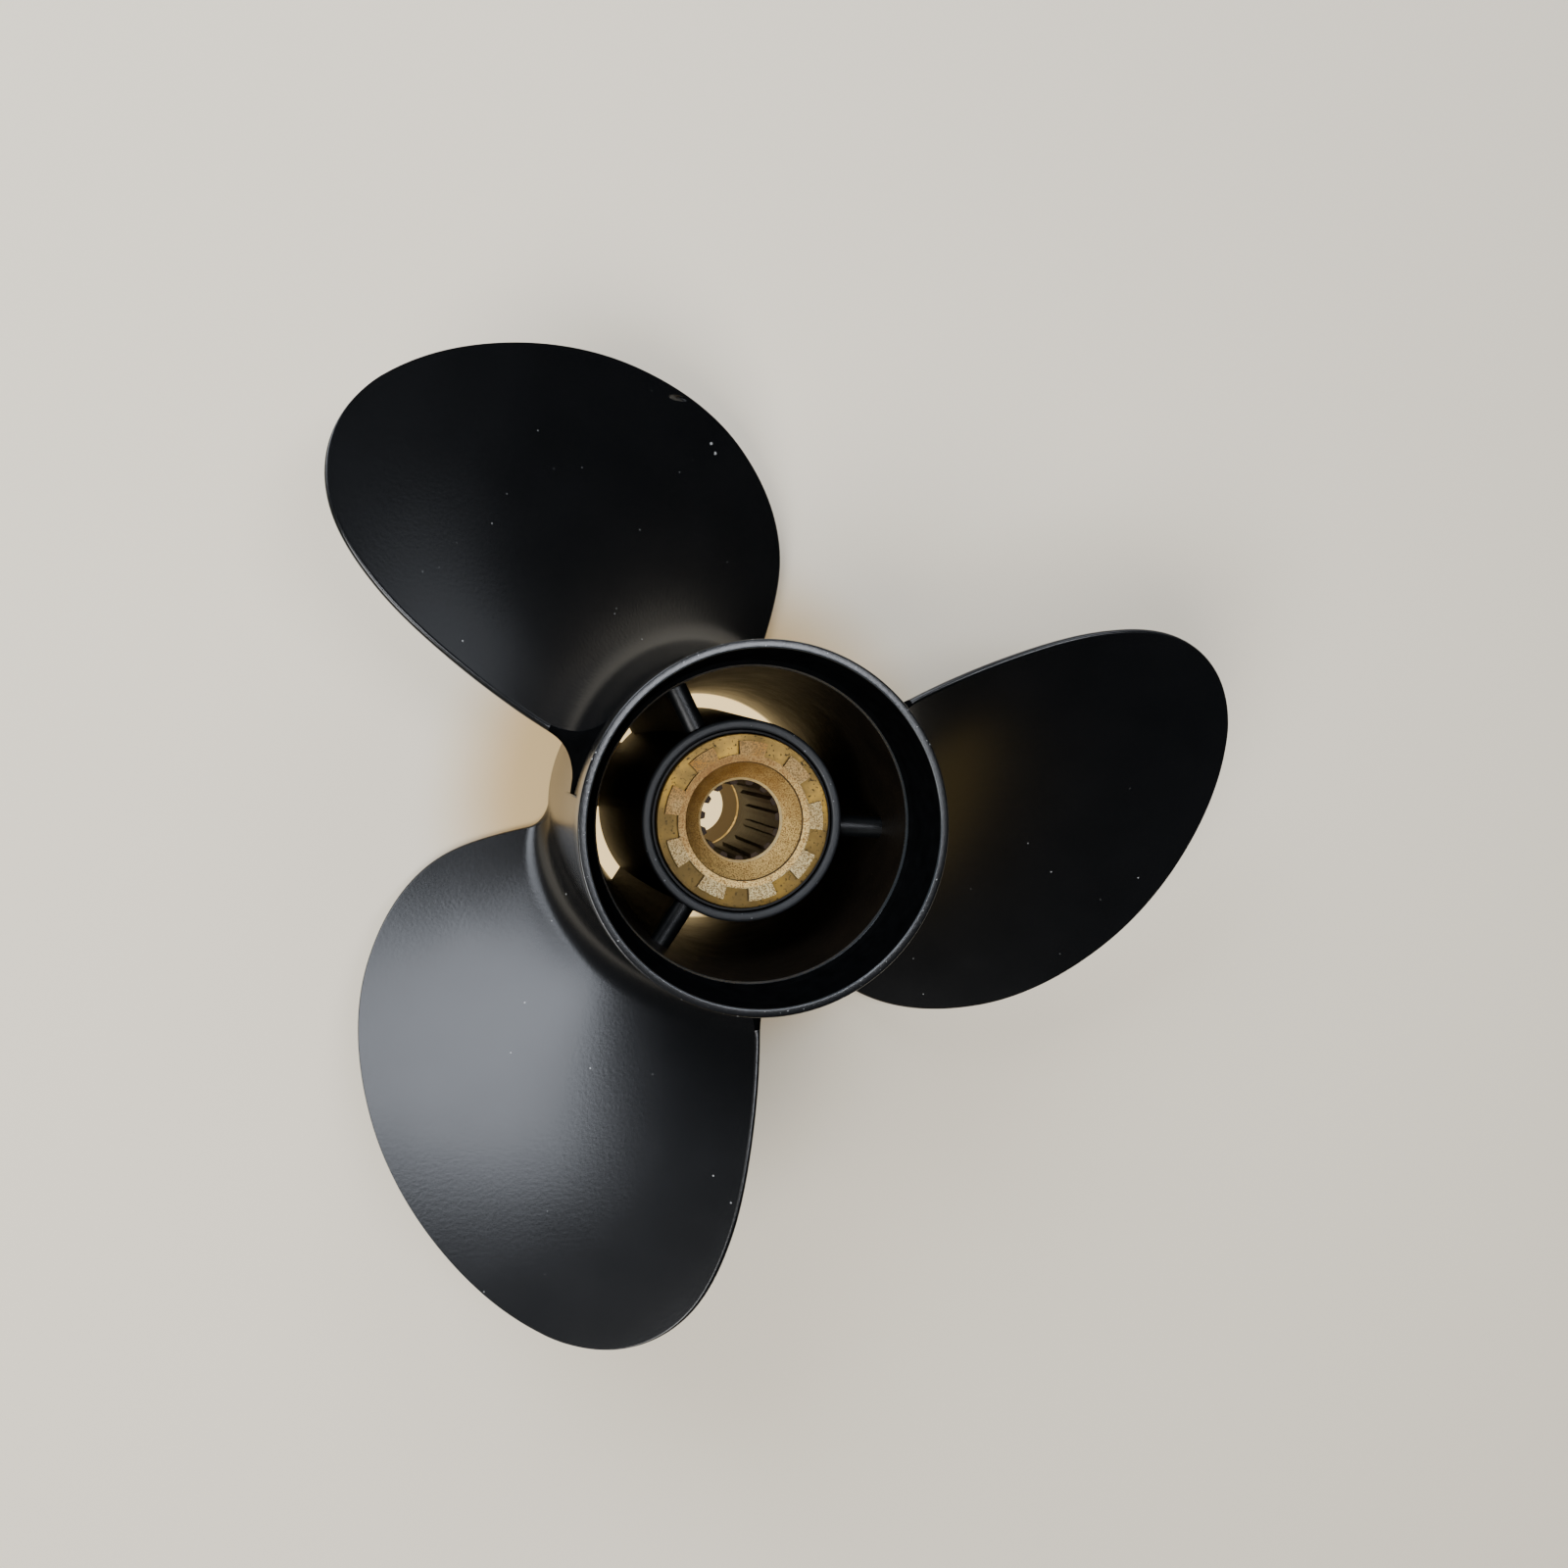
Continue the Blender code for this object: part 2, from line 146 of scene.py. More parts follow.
# Satin black enamel, sprayed on cast aluminium and baked: near black, with a fine orange peel that
# breaks up reflections, a slight unevenness in its gloss, and pale specks of dust
satin_paint, shader, place = finish_named("satin_black_enamel")
cloud = add(satin_paint, "ShaderNodeTexNoise", {"Vector": place, "Scale": per_mm(28), "Detail": 3})
ink = add(satin_paint, "ShaderNodeMix", {"Factor": cloud.outputs["Fac"], 6: linear("#060708"),
                                         7: linear("#0b0c0e")}, data_type="RGBA")
specks = add(satin_paint, "ShaderNodeTexVoronoi", {"Vector": place, "Scale": per_mm(5.5)})
cell = add(satin_paint, "ShaderNodeSeparateColor", {"Color": specks.outputs["Color"]})
speck_size = add(satin_paint, "ShaderNodeMapRange", {"Value": cell.outputs["Red"], "From Min": 0.55,
                                                     "To Max": 0.06})
dust = add(satin_paint, "ShaderNodeMath", {0: specks.outputs["Distance"],
                                           1: speck_size.outputs["Result"]}, operation="LESS_THAN")

# Two chips near the second blade's tip, and small ones all round the rim, where the metal shows
BLADE_CHIPS = (((0.0012, 0.1410, 0.0344), 0.0012), ((0.0031, 0.1377, 0.0328), 0.0011))
RIM_CHIPS_ABOVE, RIM_CHIP_LEVEL = 0.1421, 0.71
ragged = add(satin_paint, "ShaderNodeTexNoise", {"Vector": place, "Scale": per_mm(1.1), "Detail": 3})
parts = add(satin_paint, "ShaderNodeSeparateXYZ", {"Vector": place})
on_rim = add(satin_paint, "ShaderNodeMath", {0: parts.outputs["Z"], 1: RIM_CHIPS_ABOVE},
             operation="GREATER_THAN")
broken = add(satin_paint, "ShaderNodeMath", {0: ragged.outputs["Fac"], 1: RIM_CHIP_LEVEL},
             operation="GREATER_THAN")
rim_chip = add(satin_paint, "ShaderNodeMath", {0: broken.outputs["Value"], 1: on_rim.outputs["Value"]},
               operation="MULTIPLY")
bared = add(satin_paint, "ShaderNodeMath", {0: dust.outputs["Value"], 1: rim_chip.outputs["Value"]},
            operation="MAXIMUM")
for spot, reach in BLADE_CHIPS:
    off = add(satin_paint, "ShaderNodeVectorMath", {0: place, 1: spot}, operation="DISTANCE")
    edge = add(satin_paint, "ShaderNodeMath", {0: ragged.outputs["Fac"], 1: reach},
               operation="MULTIPLY")
    chip = add(satin_paint, "ShaderNodeMath", {0: off.outputs["Value"], 1: edge.outputs["Value"]},
               operation="LESS_THAN")
    bared = add(satin_paint, "ShaderNodeMath", {0: bared.outputs["Value"], 1: chip.outputs["Value"]},
                operation="MAXIMUM")
dusted = add(satin_paint, "ShaderNodeMix", {"Factor": bared.outputs["Value"], 6: ink.outputs[2],
                                            7: linear("#a2a4a3")}, data_type="RGBA")

# The corner of the barrel behind each blade's trailing root is painted shade: flat black with almost no
# sheen, fading out round the barrel (in degrees from the root's fin) and up and down it
CORNER_END, CORNER_RADIUS, HALF_BLADE_TURN = math.radians(50.4), 0.0612, math.radians(60)
bearing = add(satin_paint, "ShaderNodeMath", {0: parts.outputs["Y"], 1: parts.outputs["X"]},
              operation="ARCTAN2")
past_fin = add(satin_paint, "ShaderNodeMath", {0: bearing.outputs["Value"], 1: CORNER_END},
               operation="SUBTRACT")
beyond = add(satin_paint, "ShaderNodeMath", {0: past_fin.outputs["Value"], 1: HALF_BLADE_TURN,
                                             2: -HALF_BLADE_TURN}, operation="WRAP").outputs["Value"]
flat_place = add(satin_paint, "ShaderNodeVectorMath", {0: place, 1: (1, 1, 0)}, operation="MULTIPLY")
off_axis = add(satin_paint, "ShaderNodeVectorMath", {0: flat_place.outputs["Vector"]},
               operation="LENGTH")
painted_corner_shade = add(satin_paint, "ShaderNodeMath", {0: off_axis.outputs["Value"], 1: CORNER_RADIUS},
                operation="LESS_THAN")
for measure, none, full in ((beyond, math.radians(-20), math.radians(-9)),
                            (beyond, math.radians(3), math.radians(-1)),
                            (parts.outputs["Z"], 0.084, 0.098), (parts.outputs["Z"], 0.140, 0.122)):
    fade = add(satin_paint, "ShaderNodeMapRange", {"Value": measure, "From Min": none,
                                                   "From Max": full}, interpolation_type="SMOOTHSTEP")
    painted_corner_shade = add(satin_paint, "ShaderNodeMath", {0: painted_corner_shade.outputs["Value"],
                                                    1: fade.outputs["Result"]}, operation="MULTIPLY")
dust_and_corner_shade = add(satin_paint, "ShaderNodeMix", {"Factor": painted_corner_shade.outputs["Value"], 6: dusted.outputs[2],
                                            7: linear("#040404")}, data_type="RGBA")
sheen = add(satin_paint, "ShaderNodeMapRange", {"Value": painted_corner_shade.outputs["Value"], "To Min": 0.5,
                                                "To Max": 0.05})

# Relief: the orange peel, and a lens-shaped gouge near the second blade's edge
GOUGE_PLACE, GOUGE_HALF_LENGTH, GOUGE_HALF_WIDTH = (-0.0131, 0.1557, 0.0438), 0.00454, 0.0012
gloss = add(satin_paint, "ShaderNodeMapRange", {"Value": cloud.outputs["Fac"], "To Min": 0.21,
                                                "To Max": 0.27})
peel = add(satin_paint, "ShaderNodeTexNoise", {"Vector": place, "Scale": per_mm(1.3), "Detail": 2})
skin_bump = add(satin_paint, "ShaderNodeBump", {"Height": peel.outputs["Fac"], "Strength": 0.34,
                                                "Distance": 0.00007})
from_gouge = add(satin_paint, "ShaderNodeVectorMath", {0: place, 1: GOUGE_PLACE}, operation="SUBTRACT")
across = add(satin_paint, "ShaderNodeVectorMath", {
    0: from_gouge.outputs["Vector"], 1: (1 / GOUGE_HALF_LENGTH, 1 / GOUGE_HALF_WIDTH, 0)},
    operation="MULTIPLY")
from_middle = add(satin_paint, "ShaderNodeVectorMath", {0: across.outputs["Vector"]},
                  operation="LENGTH")
gouge = add(satin_paint, "ShaderNodeMapRange", {"Value": from_middle.outputs["Value"]},
            interpolation_type="SMOOTHSTEP")
gouge_bump = add(satin_paint, "ShaderNodeBump", {"Height": gouge.outputs["Result"], "Strength": 1.0,
                                                 "Distance": 0.0012,
                                                 "Normal": skin_bump.outputs["Normal"]})
for socket, source in (("Base Color", dust_and_corner_shade.outputs[2]), ("Roughness", gloss.outputs["Result"]),
                       ("Normal", gouge_bump.outputs["Normal"]),
                       ("Specular IOR Level", sheen.outputs["Result"])):
    satin_paint.node_tree.links.new(source, shader.inputs[socket])
shader.inputs["IOR"].default_value = 1.5

# The same enamel, thin on the as-cast walls of the passage: the sand's grain shows through it, and
# exhaust has stained it brown
cast_paint, shader, place = finish_named("thin_enamel_on_sand_casting")
stain = add(cast_paint, "ShaderNodeTexNoise", {"Vector": place, "Scale": per_mm(16), "Detail": 4})
soot = add(cast_paint, "ShaderNodeMix", {"Factor": stain.outputs["Fac"], 6: linear("#070605"),
                                         7: linear("#18120a")}, data_type="RGBA")
grain = add(cast_paint, "ShaderNodeTexNoise", {"Vector": place, "Scale": per_mm(1.6), "Detail": 4})
lumps = add(cast_paint, "ShaderNodeTexNoise", {"Vector": place, "Scale": per_mm(9), "Detail": 2})
grit = add(cast_paint, "ShaderNodeBump", {"Height": grain.outputs["Fac"], "Strength": 0.45,
                                          "Distance": 0.0002})
wavy = add(cast_paint, "ShaderNodeBump", {"Height": lumps.outputs["Fac"], "Strength": 0.5,
                                          "Distance": 0.0006, "Normal": grit.outputs["Normal"]})
gloss = add(cast_paint, "ShaderNodeMapRange", {"Value": stain.outputs["Fac"], "To Min": 0.34,
                                               "To Max": 0.50})
for socket, source in (("Base Color", soot.outputs[2]), ("Roughness", gloss.outputs["Result"]),
                       ("Normal", wavy.outputs["Normal"])):
    cast_paint.node_tree.links.new(source, shader.inputs[socket])
shader.inputs["Specular IOR Level"].default_value = 0.26

# Painted shade: the recess behind the rim and the webs at the trailing roots are flat and very dark,
# with no reflection at all
flat_shade_paint, shader, place = finish_named("flat_black_painted_shade")
film = add(flat_shade_paint, "ShaderNodeTexNoise", {"Vector": place, "Scale": per_mm(5), "Detail": 4})
flat = add(flat_shade_paint, "ShaderNodeMix", {"Factor": film.outputs["Fac"], 6: linear("#020202"),
                                        7: linear("#0c0d0e")}, data_type="RGBA")
haze = add(flat_shade_paint, "ShaderNodeTexNoise", {"Vector": place, "Scale": per_mm(0.8), "Detail": 2})
flat_bump = add(flat_shade_paint, "ShaderNodeBump", {"Height": haze.outputs["Fac"], "Strength": 0.3,
                                             "Distance": 0.00008})
flat_shade_paint.node_tree.links.new(flat.outputs[2], shader.inputs["Base Color"])
flat_shade_paint.node_tree.links.new(flat_bump.outputs["Normal"], shader.inputs["Normal"])
shader.inputs["Roughness"].default_value = 0.55
shader.inputs["Specular IOR Level"].default_value = 0.0

# The mouth's inner edge and the step: enamel rubbed glossy there, and a lighter grey base colour that
# is a painted highlight along the two edges
rubbed_edge_and_highlight, shader, place = finish_named("rubbed_enamel_edge_with_painted_highlight")
rubs = add(rubbed_edge_and_highlight, "ShaderNodeTexNoise", {"Vector": place, "Scale": per_mm(9), "Detail": 4})
greyed = add(rubbed_edge_and_highlight, "ShaderNodeMix", {"Factor": rubs.outputs["Fac"], 6: linear("#16191b"),
                                          7: linear("#33383c")}, data_type="RGBA")
rubbed_edge_and_highlight.node_tree.links.new(greyed.outputs[2], shader.inputs["Base Color"])
shader.inputs["Roughness"].default_value = 0.18

# The front edge of the passage: a light grey, half-metallic band
light_front_band, shader, place = finish_named("light_grey_front_band")
band_grain = add(light_front_band, "ShaderNodeTexNoise", {"Vector": place, "Scale": per_mm(1.2), "Detail": 3})
silver = add(light_front_band, "ShaderNodeMix", {"Factor": band_grain.outputs["Fac"], 6: linear("#8d8b84"),
                                           7: linear("#b9b7ae")}, data_type="RGBA")
light_front_band.node_tree.links.new(silver.outputs[2], shader.inputs["Base Color"])
shader.inputs["Roughness"].default_value = 0.45
shader.inputs["Metallic"].default_value = 0.6

HUB_LENGTH = 0.143
RIM_RADIUS, FRONT_RADIUS, WAIST_RADIUS, WAIST_HEIGHT = 0.0600, 0.0598, 0.0583, 0.104
RIM_MOUTH = 0.0572
RECESS_END_RADIUS, LEDGE_HEIGHT, LEDGE_RADIUS = 0.0543, 0.122, 0.0522
RECESS_HEIGHT, RECESS_RADIUS, PASSAGE_FRONT_RADIUS = 0.005, 0.0550, 0.0455
STEP_RADIUS, STEP_DROP, LIGHT_BAND_HEIGHT, LIGHT_BAND_RADIUS = 0.0528, 0.0009, 0.0085, 0.0457
STRAIGHT_FRONT, RIM_BAND, MOUTH_EDGE = 0.018, 0.003, 0.0004
BARREL_STEPS = 288
HAIR = 0.0001  # slack when faces are picked by their place


def barrel_radius(height):
    """Outside of the barrel: straight at the front, waisted, and flared to the aft rim."""
    height = np.asarray(height, float)
    forward = np.clip((height - STRAIGHT_FRONT) / (WAIST_HEIGHT - STRAIGHT_FRONT), 0, 1)
    aft = np.clip((height - WAIST_HEIGHT) / (HUB_LENGTH - RIM_BAND - WAIST_HEIGHT), 0, 1)
    waist = FRONT_RADIUS + (WAIST_RADIUS - FRONT_RADIUS) * (3 - 2 * forward) * forward ** 2
    return waist + (RIM_RADIUS - WAIST_RADIUS) * (3 - 2 * aft) * aft ** 2


outside = [(float(barrel_radius(z)), z, 0) for z in np.linspace(0.004, HUB_LENGTH - RIM_BAND, 40)]
barrel = turned("barrel", rounded(
    [(RECESS_RADIUS, 0, 0.0004), (FRONT_RADIUS, 0, 0.0008)] + outside
    + [(RIM_RADIUS, HUB_LENGTH, 0.0006), (RIM_MOUTH, HUB_LENGTH, 0.0005),
       (RECESS_END_RADIUS, LEDGE_HEIGHT + 0.0004, 0.0005),
       (STEP_RADIUS, LEDGE_HEIGHT + 0.0002, 0.0003), (LEDGE_RADIUS, LEDGE_HEIGHT - STEP_DROP, 0.0004),
       (LIGHT_BAND_RADIUS, LIGHT_BAND_HEIGHT, 0),
       (PASSAGE_FRONT_RADIUS, RECESS_HEIGHT, 0.0005), (RECESS_RADIUS, RECESS_HEIGHT, 0.0006)]),
    BARREL_STEPS)
for mat in (satin_paint, cast_paint, flat_shade_paint, rubbed_edge_and_highlight, light_front_band):
    barrel.data.materials.append(mat)
# Faces by place: the light front band, the passage, the two edges with their painted highlight, and the
# recess in painted shade
for face in barrel.data.polygons:
    radius, height = math.hypot(face.center.x, face.center.y), face.center.z
    if radius < RECESS_RADIUS - 0.002 and height < LIGHT_BAND_HEIGHT:
        face.material_index = 4
    elif radius < LEDGE_RADIUS + HAIR and height < LEDGE_HEIGHT - STEP_DROP - 0.0005:
        face.material_index = 1
    elif radius < RIM_MOUTH + MOUTH_EDGE and height > HUB_LENGTH - 0.0007 or radius < STEP_RADIUS:
        face.material_index = 3
    elif radius < RIM_MOUTH and height > LEDGE_HEIGHT - 0.001:
        face.material_index = 2
bpy.ops.object.shade_smooth_by_angle(angle=math.radians(40))
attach(barrel, "root")
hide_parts("propeller_casting")


# Blades: three raked, right-hand blades, cast in one with the barrel and blended into it by a round
# fillet. Each is a helix of growing pitch with rounded edges, thickest along its middle, and it
# flattens where its leading edge meets the front of the barrel.
BLADE_COUNT, BLADE_ANGLE = 3, -7.6
TIP_RADIUS = 0.1878
SPAN = TIP_RADIUS - FRONT_RADIUS
ROOT_MID_HEIGHT, RAKE_SLOPE = 0.0493, math.tan(math.radians(11.0))
PITCH_AT_ROOT, PITCH_AT_TIP = 0.4245, 0.5185
LEADING_LIFT, LEADING_LIFT_REACH = 0.0100, 0.085
LEADING_ANGLES = (16.9, 4.2, -11.9, -28.6, -41.9, -47.2)
TRAILING_ANGLES = (16.9, 24.4, 30.5, 35.0, 38.8, 43.0)
EDGE, ROOT_BODY, TIP_BODY = 0.0026, 0.0125, 0.0036
AFT_FILLET, FORE_FILLET, TRAILING_FILLET, LEADING_FILLET = 0.0160, 0.0100, 0.0140, 0.0080
PARTING_REACH, PAD_PROUD, WEB_REACH = 0.0159, 0.0014, 0.013
FLASH_LOW, FLASH_HIGH, FLASH_PROUD, FLASH_WIDTH = 0.088, 0.120, 0.0018, 0.0006
FACE_STEPS, NOSE_STEPS = 48, 10
FILLET_RINGS, SPAN_RINGS = 22, 84


def smooth_curve(values, at):
    """Smooth curve through equally spaced values, read at places from 0 to 1."""
    values = np.asarray(values, float)
    last = len(values) - 1
    spaced = np.r_[2 * values[0] - values[1], values, 2 * values[-1] - values[-2]]
    at = np.clip(at, 0, 1) * last
    i = np.minimum(at.astype(int), last - 1)
    t = at - i
    p0, p1, p2, p3 = spaced[i], spaced[i + 1], spaced[i + 2], spaced[i + 3]
    return 0.5 * (2 * p1 + (p2 - p0) * t + (2 * p0 - 5 * p1 + 4 * p2 - p3) * t ** 2
                  + (3 * p1 - p0 - 3 * p2 + p3) * t ** 3)


def face_height(radius, degrees, leading):
    """Height of the aft (pressure) face: a raked helix that flattens at its leading root."""
    outward = radius - FRONT_RADIUS
    pitch = PITCH_AT_ROOT + (PITCH_AT_TIP - PITCH_AT_ROOT) * outward / SPAN
    lift = LEADING_LIFT * np.clip(1 - outward / LEADING_LIFT_REACH, 0, 1) ** 2
    lift = np.where(degrees < 0, lift * np.abs(degrees / leading) ** 3, 0)
    return ROOT_MID_HEIGHT + RAKE_SLOPE * outward + pitch * degrees / 360 + lift


def blade_ring(above):
    """One closed section round the blade, on a cylinder that stands a distance above the barrel."""
    share_left = np.clip(1 - above / SPAN, 0, 1)
    left = np.array([math.sqrt(share_left)])
    leading, trailing = smooth_curve(LEADING_ANGLES, left)[0], smooth_curve(TRAILING_ANGLES, left)[0]
    nominal = FRONT_RADIUS + above
    edge_angle = math.degrees(EDGE / 2 / nominal)
    chord = 0.5 - 0.5 * np.cos(np.linspace(0, math.pi, FACE_STEPS))
    degrees = leading + edge_angle + (trailing - leading - 2 * edge_angle) * chord
    height = face_height(nominal, degrees, leading)
    around = np.radians(degrees) * nominal
    along_face = np.gradient(around, chord), np.gradient(height, chord)
    length = np.hypot(*along_face)
    tangent = np.stack([along_face[0] / length, along_face[1] / length], 1)
    normal = np.stack([-tangent[:, 1], tangent[:, 0]], 1)
    face = np.stack([around, height], 1)
    thickest = TIP_BODY + (ROOT_BODY - TIP_BODY) * share_left ** 1.5
    taper = min(1.0, share_left / 0.012)
    body = (EDGE + (thickest - EDGE) * np.sin(math.pi * chord) ** 0.9) * math.sqrt(taper)

    def foot(radius):
        """Extra half thickness of a round fillet at this distance above the barrel."""
        radius = np.maximum(radius, 1e-5)
        inside = np.clip(radius - above, 0, radius)
        arc = radius - np.sqrt(np.maximum(radius ** 2 - inside ** 2, 0))
        return np.where(above < 0, radius * (1 - 5 * above / AFT_FILLET), arc)

    to_leading = np.clip(1 - 2 * chord, 0, 1) ** 3
    aft = face + normal * foot(AFT_FILLET * (1 - 0.45 * to_leading))[:, None]
    fore = face - normal * (body + foot(FORE_FILLET * (1 - 0.999 * to_leading)))[:, None]
    ring = [aft]
    for at, fillet, side in ((-1, TRAILING_FILLET, 1), (0, LEADING_FILLET, -1)):
        middle, half = (aft[at] + fore[at]) / 2, (aft[at] - fore[at]) / 2
        reach = float(foot(fillet))
        if side > 0:
            reach = max(reach, PARTING_REACH * float(np.clip((PAD_PROUD - above) / 0.0005, 0, 1)))
        out = side * (tangent[at] * EDGE / 2 * math.sqrt(taper) + np.array([reach, 0.0]))
        turn = np.linspace(0, math.pi, NOSE_STEPS + 2)[1:-1][:, None]
        blunt = 1 - 0.4 * float(foot(fillet)) / fillet if side > 0 else 1
        nose = (middle + half * np.sign(np.cos(turn)) * np.abs(np.cos(turn)) ** blunt
                + out * np.sin(turn) ** blunt)
        ring += [nose, fore[::-1]] if side > 0 else [nose[::-1]]
    ring = np.concatenate(ring)
    parting = math.radians(trailing) * nominal + PARTING_REACH
    ring = np.stack([np.minimum(ring[:, 0], parting), np.maximum(ring[:, 1], 0.0004)], 1)
    sink = (FRONT_RADIUS - barrel_radius(ring[:, 1])) * np.clip(1 - above / 0.03, 0, 1) ** 2
    radius = nominal - sink
    angle = ring[:, 0] / nominal
    return np.stack([radius * np.cos(angle), radius * np.sin(angle), ring[:, 1]], 1)


turns = np.linspace(0, math.pi / 2, FILLET_RINGS)
rises = [-0.0008, -0.0002] + [AFT_FILLET * (1 - math.cos(t)) for t in turns]
span_left = np.linspace(math.sqrt(1 - AFT_FILLET / SPAN), 0.0, SPAN_RINGS + 1)[1:]
rises += [SPAN * (1 - left ** 2) for left in span_left[:-1]]
sections = [blade_ring(rise) for rise in rises]
ROUND = len(sections[0])


def wrapped_blade(name, turn):
    """A flat grid wrapped round the blade's sections, one column to a ring point, and closed."""
    begin()
    bpy.ops.mesh.primitive_grid_add(x_subdivisions=ROUND, y_subdivisions=len(sections) - 1, size=2)
    piece = named(name)
    spin = Matrix.Rotation(math.radians(turn), 3, "Z")
    for face in piece.data.polygons:
        column, row = (face.center.x + 1) / 2 * ROUND, (face.center.y + 1) / 2 * (len(sections) - 1)
        # The web faces at the trailing root take the flat black painted shade
        web = FACE_STEPS - 1 < column < FACE_STEPS + NOSE_STEPS + 1 and rises[int(row)] < WEB_REACH
        face.material_index = int(web)
    for vert in piece.data.vertices:
        column = round((vert.co.x + 1) / 2 * ROUND) % ROUND
        row = round((vert.co.y + 1) / 2 * (len(sections) - 1))
        vert.co = spin @ Vector(sections[row][column])
    bpy.ops.object.mode_set(mode="EDIT")
    bpy.ops.mesh.select_all(action="SELECT")
    bpy.ops.mesh.remove_doubles(threshold=2e-6)
    bpy.ops.mesh.select_all(action="DESELECT")
    bpy.ops.mesh.select_mode(type="EDGE")
    bpy.ops.mesh.select_non_manifold()
    bpy.ops.mesh.fill()
    tidy_mesh()
    return piece


def upright_flash(turn):
    """A thin upright fin of metal on the barrel, where the mould's halves met at a trailing root."""
    base = WAIST_RADIUS - 0.0010
    outline = [(base, FLASH_LOW), (float(barrel_radius(FLASH_LOW)) + FLASH_PROUD, FLASH_LOW + 0.0015),
               (float(barrel_radius(FLASH_HIGH)), FLASH_HIGH), (base, FLASH_HIGH)]
    fin = polygon("flash", [(radius, -FLASH_WIDTH / 2, height) for radius, height in outline])
    bpy.ops.object.mode_set(mode="EDIT")
    bpy.ops.mesh.select_all(action="SELECT")
    bpy.ops.mesh.edge_face_add()
    bpy.ops.mesh.extrude_region_move(TRANSFORM_OT_translate={"value": (0, FLASH_WIDTH, 0)})
    bpy.ops.mesh.select_all(action="SELECT")
    bpy.ops.mesh.bevel(offset=FLASH_WIDTH / 4, segments=2, affect="EDGES")
    tidy_mesh()
    spin = Matrix.Rotation(math.radians(turn), 3, "Z")
    for vert in fin.data.vertices:
        vert.co = spin @ vert.co
    return fin


parting_angle = TRAILING_ANGLES[-1] + math.degrees(PARTING_REACH / FRONT_RADIUS)
for index in range(BLADE_COUNT):
    turn = BLADE_ANGLE + index * 360 / BLADE_COUNT
    blade = wrapped_blade(f"blade_{index + 1}", turn)
    fin = upright_flash(turn + parting_angle)
    for piece in (blade, fin):
        piece.data.materials.append(satin_paint)
        piece.data.materials.append(flat_shade_paint)
    begin()
    fin.select_set(True)
    blade.select_set(True)
    bpy.context.view_layer.objects.active = blade
    bpy.ops.object.join()
    bpy.ops.object.shade_smooth_by_angle(angle=math.radians(60))
    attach(blade, "root")
    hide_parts("propeller_casting")


# Inner hub tube: the cast tube that holds the rubber cushion, sawn and filed at its aft lip. It
# widens towards the front by its draft.
TUBE_BORE, TUBE_AFT_RADIUS, TUBE_FRONT_RADIUS, TUBE_TOP = 0.0316, 0.0349, 0.0400, 0.102
tube_paint, shader, place = finish_named("flat_enamel_on_rough_casting")
stretched = add(tube_paint, "ShaderNodeMapping", {"Vector": place, "Scale": (1, 1, 0.12)})
streak = add(tube_paint, "ShaderNodeTexNoise", {"Vector": stretched.outputs["Vector"],
                                               "Scale": per_mm(2.4), "Detail": 4})
soot = add(tube_paint, "ShaderNodeMix", {"Factor": streak.outputs["Fac"], 6: linear("#020201"),
                                         7: linear("#150f08")}, data_type="RGBA")
draw = add(tube_paint, "ShaderNodeBump", {"Height": streak.outputs["Fac"], "Strength": 0.8,
                                          "Distance": 0.0005})
tube_paint.node_tree.links.new(soot.outputs[2], shader.inputs["Base Color"])
tube_paint.node_tree.links.new(draw.outputs["Normal"], shader.inputs["Normal"])
shader.inputs["Roughness"].default_value = 0.6
shader.inputs["Specular IOR Level"].default_value = 0.05

lip_paint, shader, place = finish_named("flat_black_enamel_on_filed_edge")
scratch = add(lip_paint, "ShaderNodeTexNoise", {"Vector": place, "Scale": per_mm(2.2), "Detail": 5})
dull = add(lip_paint, "ShaderNodeMix", {"Factor": scratch.outputs["Fac"], 6: linear("#0c0e10"),
                                        7: linear("#202327")}, data_type="RGBA")
lint = add(lip_paint, "ShaderNodeTexVoronoi", {"Vector": place, "Scale": per_mm(2.6)})
fluff = add(lip_paint, "ShaderNodeMath", {0: lint.outputs["Distance"], 1: 0.10}, operation="LESS_THAN")
linty = add(lip_paint, "ShaderNodeMix", {"Factor": fluff.outputs["Value"], 6: dull.outputs[2],
                                         7: linear("#6f7174")}, data_type="RGBA")
tooth = add(lip_paint, "ShaderNodeBump", {"Height": scratch.outputs["Fac"], "Strength": 0.4,
                                          "Distance": 0.0001})
lip_paint.node_tree.links.new(linty.outputs[2], shader.inputs["Base Color"])
lip_paint.node_tree.links.new(tooth.outputs["Normal"], shader.inputs["Normal"])
shader.inputs["Roughness"].default_value = 0.5

hub_tube = turned("hub_tube", rounded(
    [(TUBE_BORE, RECESS_HEIGHT, 0.0004), (TUBE_FRONT_RADIUS, RECESS_HEIGHT, 0.0008),
     (TUBE_AFT_RADIUS, TUBE_TOP, 0.0012), (TUBE_BORE, TUBE_TOP, 0.0010)]), 192)
hub_tube.data.materials.append(tube_paint)
hub_tube.data.materials.append(lip_paint)
for face in hub_tube.data.polygons:
    face.material_index = int(face.center.z > TUBE_TOP - 0.0045)
bpy.ops.object.shade_smooth_by_angle(angle=math.radians(40))
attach(hub_tube, "root")
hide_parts("propeller_casting")


# Ribs: three cast ribs that carry the hub tube inside the barrel. Each is a wedge with a round aft
# crest, and it spreads into both walls.
RIB_COUNT, RIB_ANGLE = 3, -4.0
RIB_HALF, RIB_FRONT_HALF, RIB_SPREAD = 0.0020, 0.0110, 0.0018
RIB_BOTTOM, RIB_CREST, RIB_HOLLOW = 0.008, 0.097, 1.8
OUTER_WALL, TUBE_BITE, WALL_BITE = 0.0512, 0.0008, 0.0035


